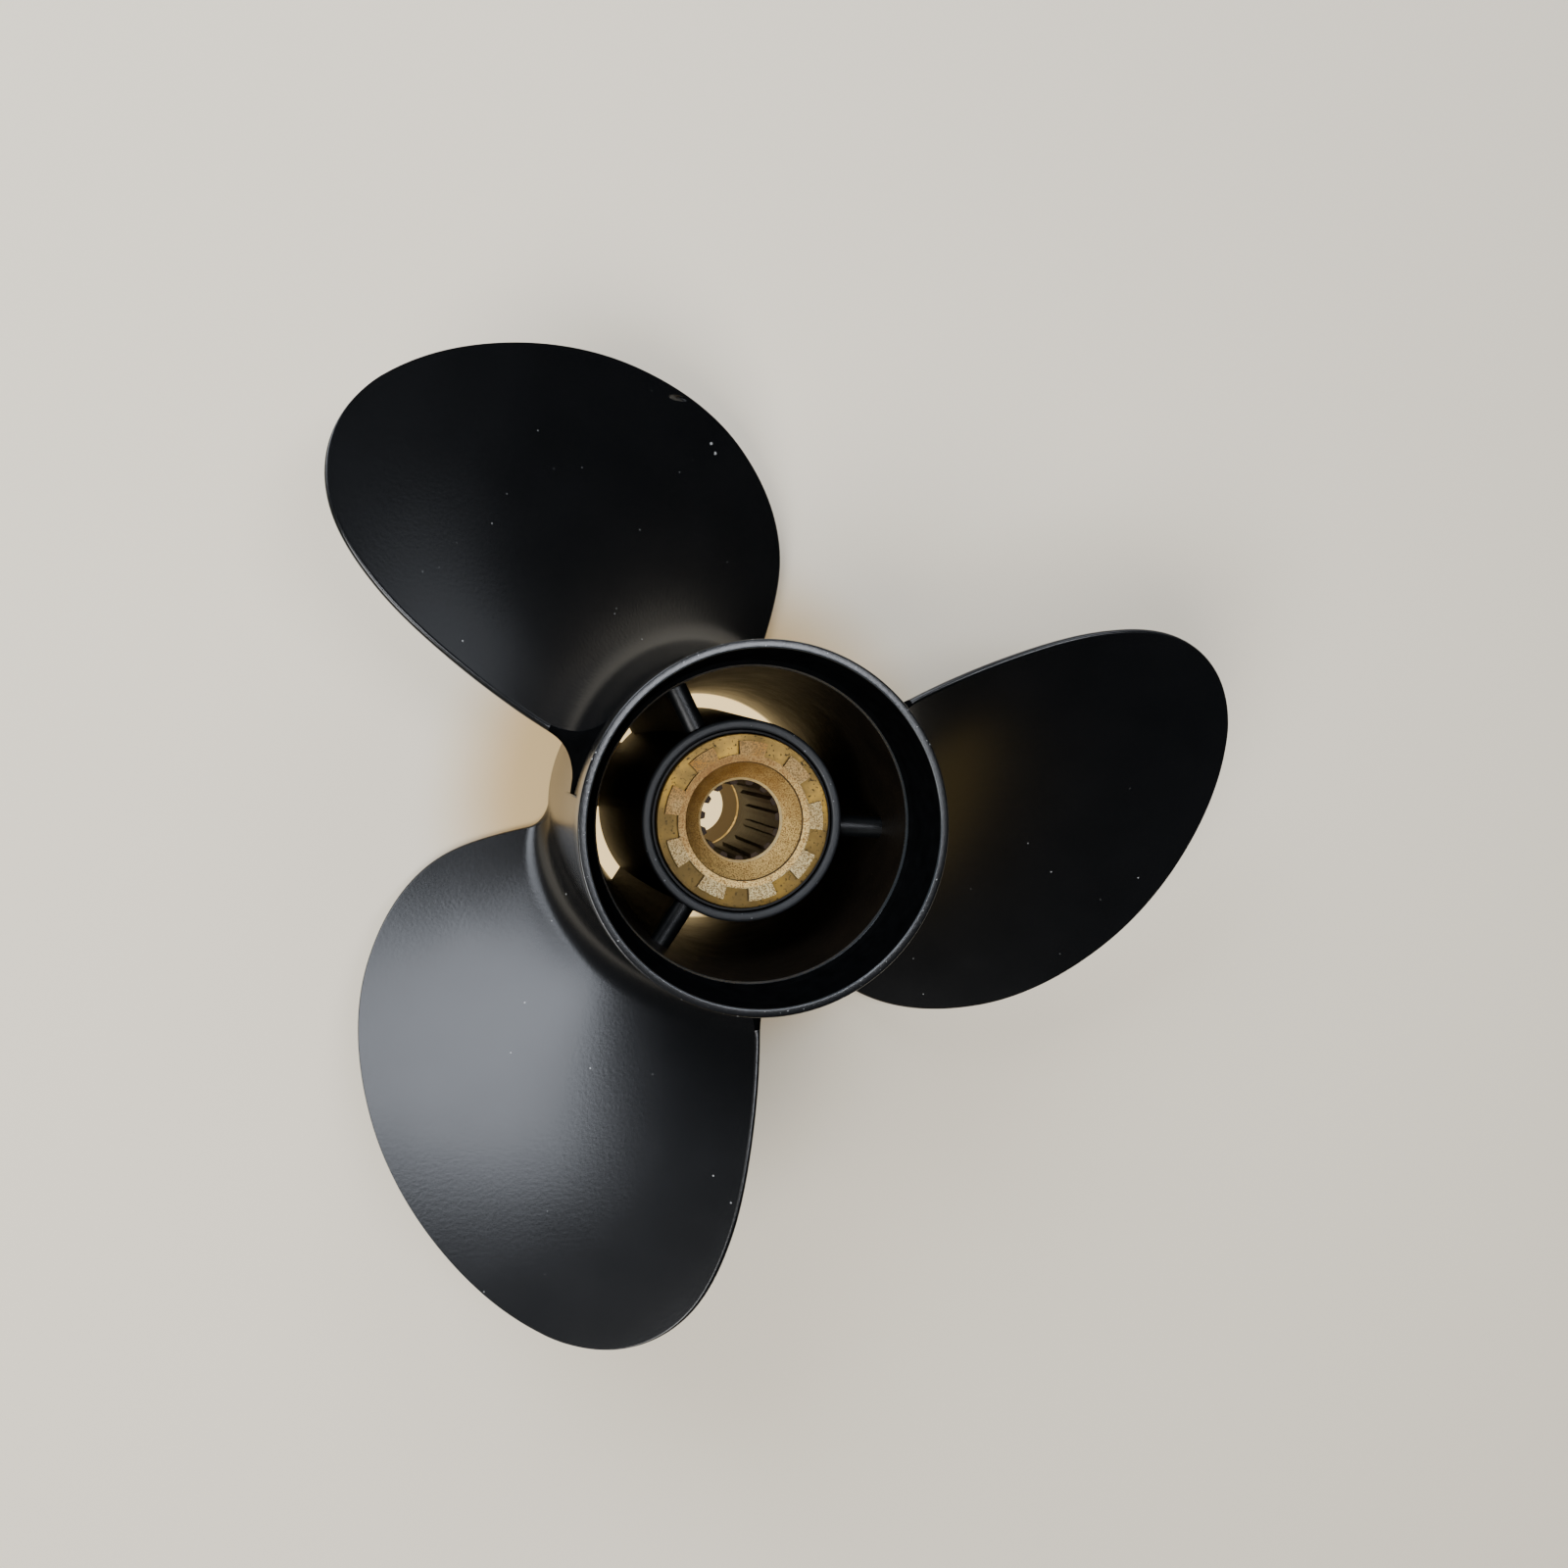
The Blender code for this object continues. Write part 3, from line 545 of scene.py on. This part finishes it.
# The ribs' crests, where the enamel lies thick over a rough casting: black with a soft, dim sheen
rib_paint, shader, place = finish_named("thick_enamel_on_casting")
orange = add(rib_paint, "ShaderNodeTexNoise", {"Vector": place, "Scale": per_mm(1.8), "Detail": 3})
coat = add(rib_paint, "ShaderNodeMix", {"Factor": orange.outputs["Fac"], 6: linear("#020303"),
                                        7: linear("#0b0d0f")}, data_type="RGBA")
coat_bump = add(rib_paint, "ShaderNodeBump", {"Height": orange.outputs["Fac"], "Strength": 0.5,
                                              "Distance": 0.00015})
rib_paint.node_tree.links.new(coat.outputs[2], shader.inputs["Base Color"])
rib_paint.node_tree.links.new(coat_bump.outputs["Normal"], shader.inputs["Normal"])
shader.inputs["Roughness"].default_value = 0.36
shader.inputs["Specular IOR Level"].default_value = 0.3


def rib_ring(radius, spread):
    """One upright section across a rib: flat underneath, sloping sides and a round crest."""
    crest = RIB_CREST - RIB_HALF + 0.3 * spread
    ring = [(0.0, RIB_BOTTOM), (-RIB_FRONT_HALF - spread, RIB_BOTTOM)]
    for share in np.linspace(0.1, 0.9, 12):
        side = RIB_HALF + (RIB_FRONT_HALF - RIB_HALF) * (1 - share) ** RIB_HOLLOW + spread
        ring.append((-side, RIB_BOTTOM + (crest - RIB_BOTTOM) * share))
    for turn in np.linspace(math.pi, 0, 17):
        ring.append(((RIB_HALF + spread) * math.cos(turn),
                     crest + (RIB_HALF + spread / 2) * math.sin(turn)))
    ring += [(-x, z) for x, z in reversed(ring[1:14])]
    return [(radius, x, z) for x, z in ring]


rounds = [(RIB_SPREAD * (1 - math.cos(turn)), RIB_SPREAD * (1 - math.sin(turn)))
          for turn in np.linspace(0, math.pi / 2, 8)]
stations = [(TUBE_BORE + TUBE_BITE, RIB_SPREAD)]
stations += [(TUBE_AFT_RADIUS + out, spread) for out, spread in rounds]
stations += [(OUTER_WALL - out, spread) for out, spread in reversed(rounds)]
stations.append((OUTER_WALL + WALL_BITE, RIB_SPREAD))
rib_rings = [rib_ring(*station) for station in stations]
for index in range(RIB_COUNT):
    begin()
    across, along = len(rib_rings[0]), len(rib_rings) - 1
    bpy.ops.mesh.primitive_grid_add(x_subdivisions=across, y_subdivisions=along, size=2)
    rib = named(f"rib_{index + 1}")
    spin = Matrix.Rotation(math.radians(RIB_ANGLE + index * 360 / RIB_COUNT), 3, "Z")
    for vert in rib.data.vertices:
        column = round((vert.co.x + 1) / 2 * across) % across
        vert.co = spin @ Vector(rib_rings[round((vert.co.y + 1) / 2 * along)][column])
    bpy.ops.object.mode_set(mode="EDIT")
    bpy.ops.mesh.select_all(action="SELECT")
    bpy.ops.mesh.remove_doubles(threshold=2e-6)
    bpy.ops.mesh.select_all(action="DESELECT")
    bpy.ops.mesh.select_mode(type="EDGE")
    bpy.ops.mesh.select_non_manifold()
    bpy.ops.mesh.fill()
    tidy_mesh()
    rib.data.materials.append(tube_paint)
    rib.data.materials.append(rib_paint)
    for face in rib.data.polygons:
        face.material_index = int(face.center.z > RIB_CREST - RIB_HALF)
    bpy.ops.object.shade_smooth_by_angle(angle=math.radians(50))
    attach(rib, "root")
    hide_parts("propeller_casting")


# Cushion: a moulded rubber bush, pressed between the hub tube and the brass sleeve. Only its thin
# lip round the brass flange shows from aft, and its flat end from the front.
CUSHION_OUTER, CUSHION_BOTTOM, CUSHION_TOP = 0.0313, 0.011, 0.1005
FLANGE_RADIUS, FLANGE_UNDER, SLEEVE_RADIUS = 0.0300, 0.095, 0.0190
PIECE_GAP = 0.0003
rubber, shader, place = finish_named("moulded_black_rubber")
bloom = add(rubber, "ShaderNodeTexNoise", {"Vector": place, "Scale": per_mm(6), "Detail": 5})
aged = add(rubber, "ShaderNodeMix", {"Factor": bloom.outputs["Fac"], 6: linear("#0c0c0d"),
                                     7: linear("#1c1c1d")}, data_type="RGBA")
pores = add(rubber, "ShaderNodeTexNoise", {"Vector": place, "Scale": per_mm(0.8), "Detail": 2})
matte = add(rubber, "ShaderNodeBump", {"Height": pores.outputs["Fac"], "Strength": 0.3,
                                       "Distance": 0.00008})
rubber.node_tree.links.new(aged.outputs[2], shader.inputs["Base Color"])
rubber.node_tree.links.new(matte.outputs["Normal"], shader.inputs["Normal"])
shader.inputs["Roughness"].default_value = 0.65

cushion = turned("rubber_cushion", rounded(
    [(SLEEVE_RADIUS + PIECE_GAP, CUSHION_BOTTOM, 0.0006), (CUSHION_OUTER, CUSHION_BOTTOM, 0.0008),
     (CUSHION_OUTER, CUSHION_TOP, 0.0003), (FLANGE_RADIUS + PIECE_GAP, CUSHION_TOP, 0.0003),
     (FLANGE_RADIUS + PIECE_GAP, FLANGE_UNDER - PIECE_GAP, 0),
     (SLEEVE_RADIUS + PIECE_GAP, FLANGE_UNDER - PIECE_GAP, 0)]), 160)
cushion.data.materials.append(rubber)
bpy.ops.object.shade_smooth_by_angle(angle=math.radians(40))
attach(cushion, "root")
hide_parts("cushion_bush")


# Drive sleeve: sand-cast brass, with a castellated aft flange whose nine pads keep the nut's washer
# from turning, a dished face and a broached bore of fifteen splines, counterbored at the front.
SLEEVE_TOP, SLEEVE_BOTTOM = 0.105, 0.009
PAD_HEIGHT, PAD_OUTER, PAD_INNER, RING_RADIUS, DISH_RADIUS = 0.0018, 0.0275, 0.0230, 0.0226, 0.0205
DISH_DROP, DISH_LEAN, DISH_DEPTH, BORE_CHAMFER = 0.0014, 0.0003, 0.0075, 0.0008
SPLINE_COUNT, SPLINE_ROOT, SPLINE_CREST, SPLINE_ANGLE = 15, 0.0140, 0.0125, 4.0
CREST_SHARE, FOOT_SHARE = 0.184, 0.2645
COUNTERBORE, COUNTERBORE_TOP, WORN_TOP, PILOT_BORE = 0.0160, 0.043, 0.0125, 0.007
GAP_COUNT, GAP_ANGLE, GAP_WIDTH = 9, 3.4, 19.0

# As-cast brass skin of the pads: grey-beige and gritty, with tan and rust-brown patches
pad_brass, shader, place = finish_named("sand_cast_brass")
patch = add(pad_brass, "ShaderNodeTexNoise", {"Vector": place, "Scale": per_mm(7), "Detail": 3})
sand = add(pad_brass, "ShaderNodeTexNoise", {"Vector": place, "Scale": per_mm(0.45), "Detail": 3})
lower_right_side = add(pad_brass, "ShaderNodeVectorMath", {0: place, 1: (0.35, -0.94, 0)},
                operation="DOT_PRODUCT")
side_tone = add(pad_brass, "ShaderNodeMapRange", {"Value": lower_right_side.outputs["Value"], "From Min": -0.022,
                                             "From Max": 0.020, "To Min": 0.38, "To Max": -0.30})
tint = add(pad_brass, "ShaderNodeMath", {0: side_tone.outputs["Result"], 1: patch.outputs["Fac"]},
           use_clamp=True)
warm = add(pad_brass, "ShaderNodeMix", {"Factor": tint.outputs["Value"], 6: linear("#d3c391"),
                                        7: linear("#ad7a30")}, data_type="RGBA")
grains = add(pad_brass, "ShaderNodeMapRange", {"Value": sand.outputs["Fac"], "From Min": 0.42,
                                               "From Max": 0.56})
speckled = add(pad_brass, "ShaderNodeMix", {"Factor": grains.outputs["Result"], 6: linear("#7a6138"),
                                            7: warm.outputs[2]}, data_type="RGBA")
grit = add(pad_brass, "ShaderNodeBump", {"Height": sand.outputs["Fac"], "Strength": 0.8,
                                         "Distance": 0.0002})
pad_brass.node_tree.links.new(speckled.outputs[2], shader.inputs["Base Color"])
pad_brass.node_tree.links.new(grit.outputs["Normal"], shader.inputs["Normal"])
shader.inputs["Roughness"].default_value = 0.55
shader.inputs["Metallic"].default_value = 0.5

# Tarnished flange: smoother olive brass, with a green bloom and a few bright yellow rubs
olive_brass, shader, place = finish_named("tarnished_brass")
patch = add(olive_brass, "ShaderNodeTexNoise", {"Vector": place, "Scale": per_mm(9), "Detail": 4})
spots = add(olive_brass, "ShaderNodeTexNoise", {"Vector": place, "Scale": per_mm(1.1), "Detail": 4})
ramp = add(olive_brass, "ShaderNodeValToRGB", {"Fac": patch.outputs["Fac"]})
ramp.color_ramp.elements[0].position, ramp.color_ramp.elements[0].color = 0.30, linear("#685226")
ramp.color_ramp.elements[1].position, ramp.color_ramp.elements[1].color = 0.72, linear("#c0963c")
middle = ramp.color_ramp.elements.new(0.5)
middle.color = linear("#8c6f36")
pits = add(olive_brass, "ShaderNodeMapRange", {"Value": spots.outputs["Fac"], "From Min": 0.33,
                                               "From Max": 0.42})
pitted = add(olive_brass, "ShaderNodeMix", {"Factor": pits.outputs["Result"], 6: linear("#2e230e"),
                                            7: ramp.outputs["Color"]}, data_type="RGBA")
grit = add(olive_brass, "ShaderNodeBump", {"Height": spots.outputs["Fac"], "Strength": 0.4,
                                           "Distance": 0.0001})
settled = add(olive_brass, "ShaderNodeVectorMath", {0: place, 1: (0.35, 0.94, 0)},
              operation="DOT_PRODUCT")
grime = add(olive_brass, "ShaderNodeMapRange", {"Value": settled.outputs["Value"], "From Min": -0.026,
                                                "From Max": 0.022, "To Min": 0.75, "To Max": 0.0})
grimy = add(olive_brass, "ShaderNodeMix", {"Factor": grime.outputs["Result"], 6: pitted.outputs[2],
                                           7: linear("#4b3c1d")}, data_type="RGBA")
olive_brass.node_tree.links.new(grimy.outputs[2], shader.inputs["Base Color"])
olive_brass.node_tree.links.new(grit.outputs["Normal"], shader.inputs["Normal"])
shader.inputs["Roughness"].default_value = 0.45
shader.inputs["Metallic"].default_value = 0.75

# Dish: the same casting, stained orange-brown by grease and rust, and painted lighter towards the lower
# right, as painted light on the side that faces the lamp
dish_brass, shader, place = finish_named("rust_stained_brass_with_painted_light")
patch = add(dish_brass, "ShaderNodeTexNoise", {"Vector": place, "Scale": per_mm(5), "Detail": 4})
sand = add(dish_brass, "ShaderNodeTexNoise", {"Vector": place, "Scale": per_mm(0.45), "Detail": 3})
# Painted light: lighter towards the lower right, where the dish's slope faces the lamp
lower_right_side = add(dish_brass, "ShaderNodeVectorMath", {0: place, 1: (0.45, -0.89, 0)},
                operation="DOT_PRODUCT")
side_tone = add(dish_brass, "ShaderNodeMapRange", {"Value": lower_right_side.outputs["Value"], "From Min": -0.018,
                                              "From Max": 0.014, "To Min": -0.35, "To Max": 0.55})
tint = add(dish_brass, "ShaderNodeMath", {0: side_tone.outputs["Result"], 1: patch.outputs["Fac"]},
           use_clamp=True)
stain_and_painted_light = add(dish_brass, "ShaderNodeMix", {"Factor": tint.outputs["Value"], 6: linear("#8b5e22"),
                                            7: linear("#e2bf76")}, data_type="RGBA")
grains = add(dish_brass, "ShaderNodeMapRange", {"Value": sand.outputs["Fac"], "From Min": 0.38,
                                                "From Max": 0.55})
speckled = add(dish_brass, "ShaderNodeMix", {"Factor": grains.outputs["Result"], 6: linear("#7d5726"),
                                             7: stain_and_painted_light.outputs[2]}, data_type="RGBA")
grit = add(dish_brass, "ShaderNodeBump", {"Height": sand.outputs["Fac"], "Strength": 0.7,
                                          "Distance": 0.0002})
dish_brass.node_tree.links.new(speckled.outputs[2], shader.inputs["Base Color"])
dish_brass.node_tree.links.new(grit.outputs["Normal"], shader.inputs["Normal"])
shader.inputs["Roughness"].default_value = 0.5
shader.inputs["Metallic"].default_value = 0.35

# Bright chamfer: brass rubbed bright where the shaft goes in
bright_brass, shader, place = finish_named("rubbed_brass")
rub = add(bright_brass, "ShaderNodeTexNoise", {"Vector": place, "Scale": per_mm(1.5), "Detail": 3})
shine = add(bright_brass, "ShaderNodeMix", {"Factor": rub.outputs["Fac"], 6: linear("#e0bc70"),
                                            7: linear("#fff0c0")}, data_type="RGBA")
bright_brass.node_tree.links.new(shine.outputs[2], shader.inputs["Base Color"])
shader.inputs["Roughness"].default_value = 0.35
shader.inputs["Metallic"].default_value = 0.7

# Painted shade: dark brown on the upright walls of the pads and of the dish's step
wall_shade_paint, shader, place = finish_named("brown_painted_wall_shade")
shade_mottle = add(wall_shade_paint, "ShaderNodeTexNoise", {"Vector": place, "Scale": per_mm(1.5), "Detail": 4})
shade_brown = add(wall_shade_paint, "ShaderNodeMix", {"Factor": shade_mottle.outputs["Fac"], 6: linear("#1d1409"),
                                            7: linear("#5f4724")}, data_type="RGBA")
wall_shade_paint.node_tree.links.new(shade_brown.outputs[2], shader.inputs["Base Color"])
shader.inputs["Roughness"].default_value = 0.7

# Splines: broached brass under old brown grease, which is glossy and hides most of the metal
greasy_brass, shader, place = finish_named("greased_brass")
smear = add(greasy_brass, "ShaderNodeTexNoise", {"Vector": place, "Scale": per_mm(3), "Detail": 5})
greasy = add(greasy_brass, "ShaderNodeMix", {"Factor": smear.outputs["Fac"], 6: linear("#0c0805"),
                                             7: linear("#3a2918")}, data_type="RGBA")
blobs = add(greasy_brass, "ShaderNodeBump", {"Height": smear.outputs["Fac"], "Strength": 0.7,
                                             "Distance": 0.0003})
greasy_brass.node_tree.links.new(greasy.outputs[2], shader.inputs["Base Color"])
greasy_brass.node_tree.links.new(blobs.outputs["Normal"], shader.inputs["Normal"])
shader.inputs["Roughness"].default_value = 0.55
shader.inputs["Specular IOR Level"].default_value = 0.2


def on_circle(radius, degrees, height=0.0):
    """A point on a circle about the axis."""
    return (radius * math.cos(math.radians(degrees)), radius * math.sin(math.radians(degrees)), height)


def bar(name, points, low, high):
    """A closed flat outline, filled and drawn up from one height to another."""
    piece = polygon(name, [(x, y, low) for x, y, _ in points])
    bpy.ops.object.mode_set(mode="EDIT")
    bpy.ops.mesh.select_all(action="SELECT")
    bpy.ops.mesh.edge_face_add()
    bpy.ops.mesh.extrude_region_move(TRANSFORM_OT_translate={"value": (0, 0, high - low)})
    tidy_mesh()
    return piece


def cut_away(piece, cutter):
    """Cut one solid out of another, and remove the cutter."""
    begin()
    bpy.context.view_layer.objects.active = piece
    piece.select_set(True)
    cut = piece.modifiers.new("cut", "BOOLEAN")
    cut.operation, cut.solver, cut.object = "DIFFERENCE", "EXACT", cutter
    bpy.ops.object.modifier_apply(modifier=cut.name)
    bpy.data.objects.remove(cutter, do_unlink=True)


floor_level = SLEEVE_TOP - PAD_HEIGHT
teeth_top = SLEEVE_TOP - DISH_DEPTH - BORE_CHAMFER
sleeve = turned("drive_sleeve_brass", rounded(
    [(PILOT_BORE, COUNTERBORE_TOP, 0), (COUNTERBORE, COUNTERBORE_TOP, 0), (COUNTERBORE, WORN_TOP, 0),
     (COUNTERBORE, SLEEVE_BOTTOM, 0),
     (SLEEVE_RADIUS, SLEEVE_BOTTOM, 0), (SLEEVE_RADIUS, FLANGE_UNDER, 0),
     (FLANGE_RADIUS, FLANGE_UNDER, 0),
     (FLANGE_RADIUS, floor_level, 0.0004), (PAD_OUTER, floor_level, 0), (PAD_OUTER, SLEEVE_TOP, 0),
     (RING_RADIUS, SLEEVE_TOP, 0), (DISH_RADIUS, SLEEVE_TOP, 0),
     (DISH_RADIUS - DISH_LEAN, SLEEVE_TOP - DISH_DROP, 0),
     (SPLINE_ROOT + BORE_CHAMFER, SLEEVE_TOP - DISH_DEPTH, 0), (SPLINE_ROOT, teeth_top, 0),
     (PILOT_BORE, teeth_top, 0)]), 180)
for index in range(GAP_COUNT):
    middle = GAP_ANGLE + (index + 0.5) * 360 / GAP_COUNT
    swing = np.linspace(-GAP_WIDTH / 2, GAP_WIDTH / 2, 9)
    cut_away(sleeve, bar("gap_cutter", [on_circle(PAD_INNER, middle + a) for a in swing]
                         + [on_circle(PAD_OUTER + 0.0012, middle + a) for a in swing[::-1]],
                         floor_level, SLEEVE_TOP + 0.001))
tooth_pitch = 360 / SPLINE_COUNT
half_crest, half_foot = tooth_pitch * CREST_SHARE, tooth_pitch * FOOT_SHARE
spline_outline = []
for index in range(SPLINE_COUNT):
    middle = SPLINE_ANGLE + index * tooth_pitch
    for radius, swing in ((SPLINE_ROOT, -tooth_pitch / 2), (SPLINE_ROOT, -half_foot),
                          (SPLINE_CREST, -half_crest), (SPLINE_CREST, half_crest),
                          (SPLINE_ROOT, half_foot)):
        spline_outline.append(on_circle(radius, middle + swing))
cut_away(sleeve, bar("spline_cutter", spline_outline, SLEEVE_BOTTOM - 0.001, SLEEVE_TOP + 0.001))
soften = sleeve.modifiers.new("soften", "BEVEL")
soften.width, soften.segments = 0.00025, 2
soften.limit_method, soften.angle_limit = "ANGLE", math.radians(40)
bpy.ops.object.modifier_apply(modifier=soften.name)
for mat in (pad_brass, olive_brass, dish_brass, bright_brass, greasy_brass, wall_shade_paint):
    sleeve.data.materials.append(mat)
for face in sleeve.data.polygons:
    radius, height = math.hypot(face.center.x, face.center.y), face.center.z
    if radius < COUNTERBORE + HAIR and height < WORN_TOP:
        face.material_index = 3
    elif radius < SPLINE_ROOT + HAIR and height < teeth_top + BORE_CHAMFER * 0.3:
        face.material_index = 4
    elif radius < COUNTERBORE + HAIR and height < COUNTERBORE_TOP + 0.0005:
        face.material_index = 4
    # The upright walls of the pads and of the dish's step take the painted shade
    elif abs(face.normal.z) < 0.6 and radius > DISH_RADIUS - 0.0005 and height > floor_level + HAIR:
        face.material_index = 5
    elif radius < SPLINE_ROOT + BORE_CHAMFER + 0.0002 and height > COUNTERBORE_TOP + 0.001:
        face.material_index = 3
    elif radius < RING_RADIUS and height > FLANGE_UNDER:
        face.material_index = 2
    elif height < floor_level + 0.0003:
        face.material_index = 1
bpy.ops.object.shade_smooth_by_angle(angle=math.radians(35))
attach(sleeve, "root")
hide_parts("drive_sleeve")


# Stage: a plain pale floor, soft light from the upper left, and the camera at the photograph's view.
# The floor glows a little, a painted light, most of all inside the barrel, where the passages look
# bright from aft. Inside the barrel it is painted dark as shadow on the right, at the bottom, in the
# upper half of the left passage and in a ring under the sleeve. Round the barrel it is darker and
# warmer, a painted contact shadow and warm reflected light, and far off it fades to dark, a painted
# pool of light
floor_paint, shader, place = finish_named("pale_floor")
away = add(floor_paint, "ShaderNodeVectorMath", {0: place}, operation="LENGTH").outputs["Value"]
within = add(floor_paint, "ShaderNodeValToRGB", {"Fac": away})
within.color_ramp.interpolation = "CONSTANT"
within.color_ramp.elements[0].color = (0.98, 0.74, 0.37, 1)
within.color_ramp.elements[1].position = FRONT_RADIUS - 0.002
within.color_ramp.elements[1].color = (0, 0, 0, 1)
for start, seen in ((0.0115, (0.06, 0.042, 0.018, 1)), (0.0190, (0.98, 0.72, 0.34, 1))):
    within.color_ramp.elements.new(start).color = seen
beyond = add(floor_paint, "ShaderNodeMapRange", {"Value": away, "From Min": 0.070, "From Max": 0.115},
             interpolation_type="SMOOTHSTEP").outputs["Result"]
around = add(floor_paint, "ShaderNodeMix", {"Factor": beyond, 6: (0.07, 0.042, 0.015, 1),
                                            7: (0.118, 0.104, 0.08, 1)}, data_type="RGBA")
parts = add(floor_paint, "ShaderNodeSeparateXYZ", {"Vector": place}).outputs
dim_side = add(floor_paint, "ShaderNodeVectorMath", {0: place, 1: (1.0, -0.55, 0)},
               operation="DOT_PRODUCT")
shaded = add(floor_paint, "ShaderNodeMapRange", {"Value": dim_side.outputs["Value"], "From Min": 0.018,
                                                 "From Max": 0.036}, interpolation_type="SMOOTHSTEP")
at_left = add(floor_paint, "ShaderNodeMath", {0: parts["X"], 1: -0.026}, operation="LESS_THAN")
above_middle = add(floor_paint, "ShaderNodeMath", {0: parts["Y"], 1: 0.0128, 2: 0.0130},
                   operation="COMPARE")
hidden = add(floor_paint, "ShaderNodeMath", {0: at_left.outputs["Value"],
                                             1: above_middle.outputs["Value"]}, operation="MULTIPLY")
dark = add(floor_paint, "ShaderNodeMath", {0: shaded.outputs["Result"], 1: hidden.outputs["Value"]},
           operation="MAXIMUM")
lit = add(floor_paint, "ShaderNodeMix", {"Factor": dark.outputs["Value"], 6: within.outputs["Color"],
                                         7: (0.01, 0.008, 0.004, 1)}, data_type="RGBA")
outside_barrel = add(floor_paint, "ShaderNodeMath", {0: away, 1: FRONT_RADIUS - 0.002},
                     operation="GREATER_THAN").outputs["Value"]
glow = add(floor_paint, "ShaderNodeMix", {"Factor": outside_barrel, 6: lit.outputs[2],
                                          7: around.outputs[2]}, data_type="RGBA")
tan = add(floor_paint, "ShaderNodeMix", {"Factor": beyond, 6: linear("#d5b784"), 7: linear("#e4dac6")},
          data_type="RGBA")
fade = add(floor_paint, "ShaderNodeMapRange", {"Value": away, "From Min": 0.56, "From Max": 1.2},
           interpolation_type="SMOOTHSTEP").outputs["Result"]
for socket, near in (("Emission Color", glow.outputs[2]), ("Base Color", tan.outputs[2])):
    far = add(floor_paint, "ShaderNodeMix", {"Factor": fade, 6: near, 7: (0.02, 0.02, 0.02, 1)},
              data_type="RGBA")
    floor_paint.node_tree.links.new(far.outputs[2], shader.inputs[socket])
shader.inputs["Roughness"].default_value = 0.9
shader.inputs["Emission Strength"].default_value = 1.7
begin()
bpy.ops.mesh.primitive_plane_add(size=12, location=(0, 0, 0))
floor = named("floor")
floor.data.materials.append(floor_paint)


def softbox(name, azimuth, elevation, distance, size, power, colour="#ffffff", roll=0):
    """An oblong area light that faces the propeller from a bearing and a height."""
    begin()
    az, el = math.radians(azimuth), math.radians(elevation)
    toward = Vector((math.cos(az) * math.cos(el), math.sin(az) * math.cos(el), math.sin(el)))
    bpy.ops.object.light_add(type="AREA", location=toward * distance + Vector((0, 0, 0.07)))
    lamp = bpy.context.object
    lamp.name = name
    faced = (-toward).to_track_quat("-Z", "Y")
    lamp.rotation_euler = (faced @ Quaternion((0, 0, 1), math.radians(roll))).to_euler()
    lamp.data.shape = "RECTANGLE"
    lamp.data.size, lamp.data.size_y = size
    lamp.data.energy = power
    lamp.data.color = linear(colour)[:3]


softbox("sky_left", 127, 33, 1.8, (0.95, 1.22), 31, "#eef4ff", -14)
softbox("sky_above", 18, 79.5, 2.0, (0.32, 0.54), 12, "#f2f6ff")
softbox("sky_far", 80, 36, 1.8, (0.8, 0.8), 8, "#eef4ff")
softbox("sky_right", 52, 20, 1.8, (1.0, 0.6), 3, "#e6ecf6")
softbox("warm_bounce", -90, 9, 1.6, (1.5, 0.4), 2.5, "#c8a860")
softbox("rear_fill", -145, 55, 1.8, (0.9, 0.9), 30)
world = bpy.data.worlds.new("studio")
world.use_nodes = True
world.node_tree.nodes["Background"].inputs["Color"].default_value = (0.03, 0.031, 0.033, 1)
bpy.context.scene.world = world

begin()
bpy.ops.object.camera_add(location=(-0.0972, 0.0333, 0.586))
camera = bpy.context.object
ahead, up = Vector((0.2244, -0.0418, -0.9736)).normalized(), Vector((0.0094, 0.9991, -0.0407))
right = ahead.cross(up).normalized()
camera.rotation_euler = Matrix((right, right.cross(ahead), -ahead)).transposed().to_euler()
camera.data.lens, camera.data.sensor_width = 33.075, 36
bpy.context.scene.camera = camera
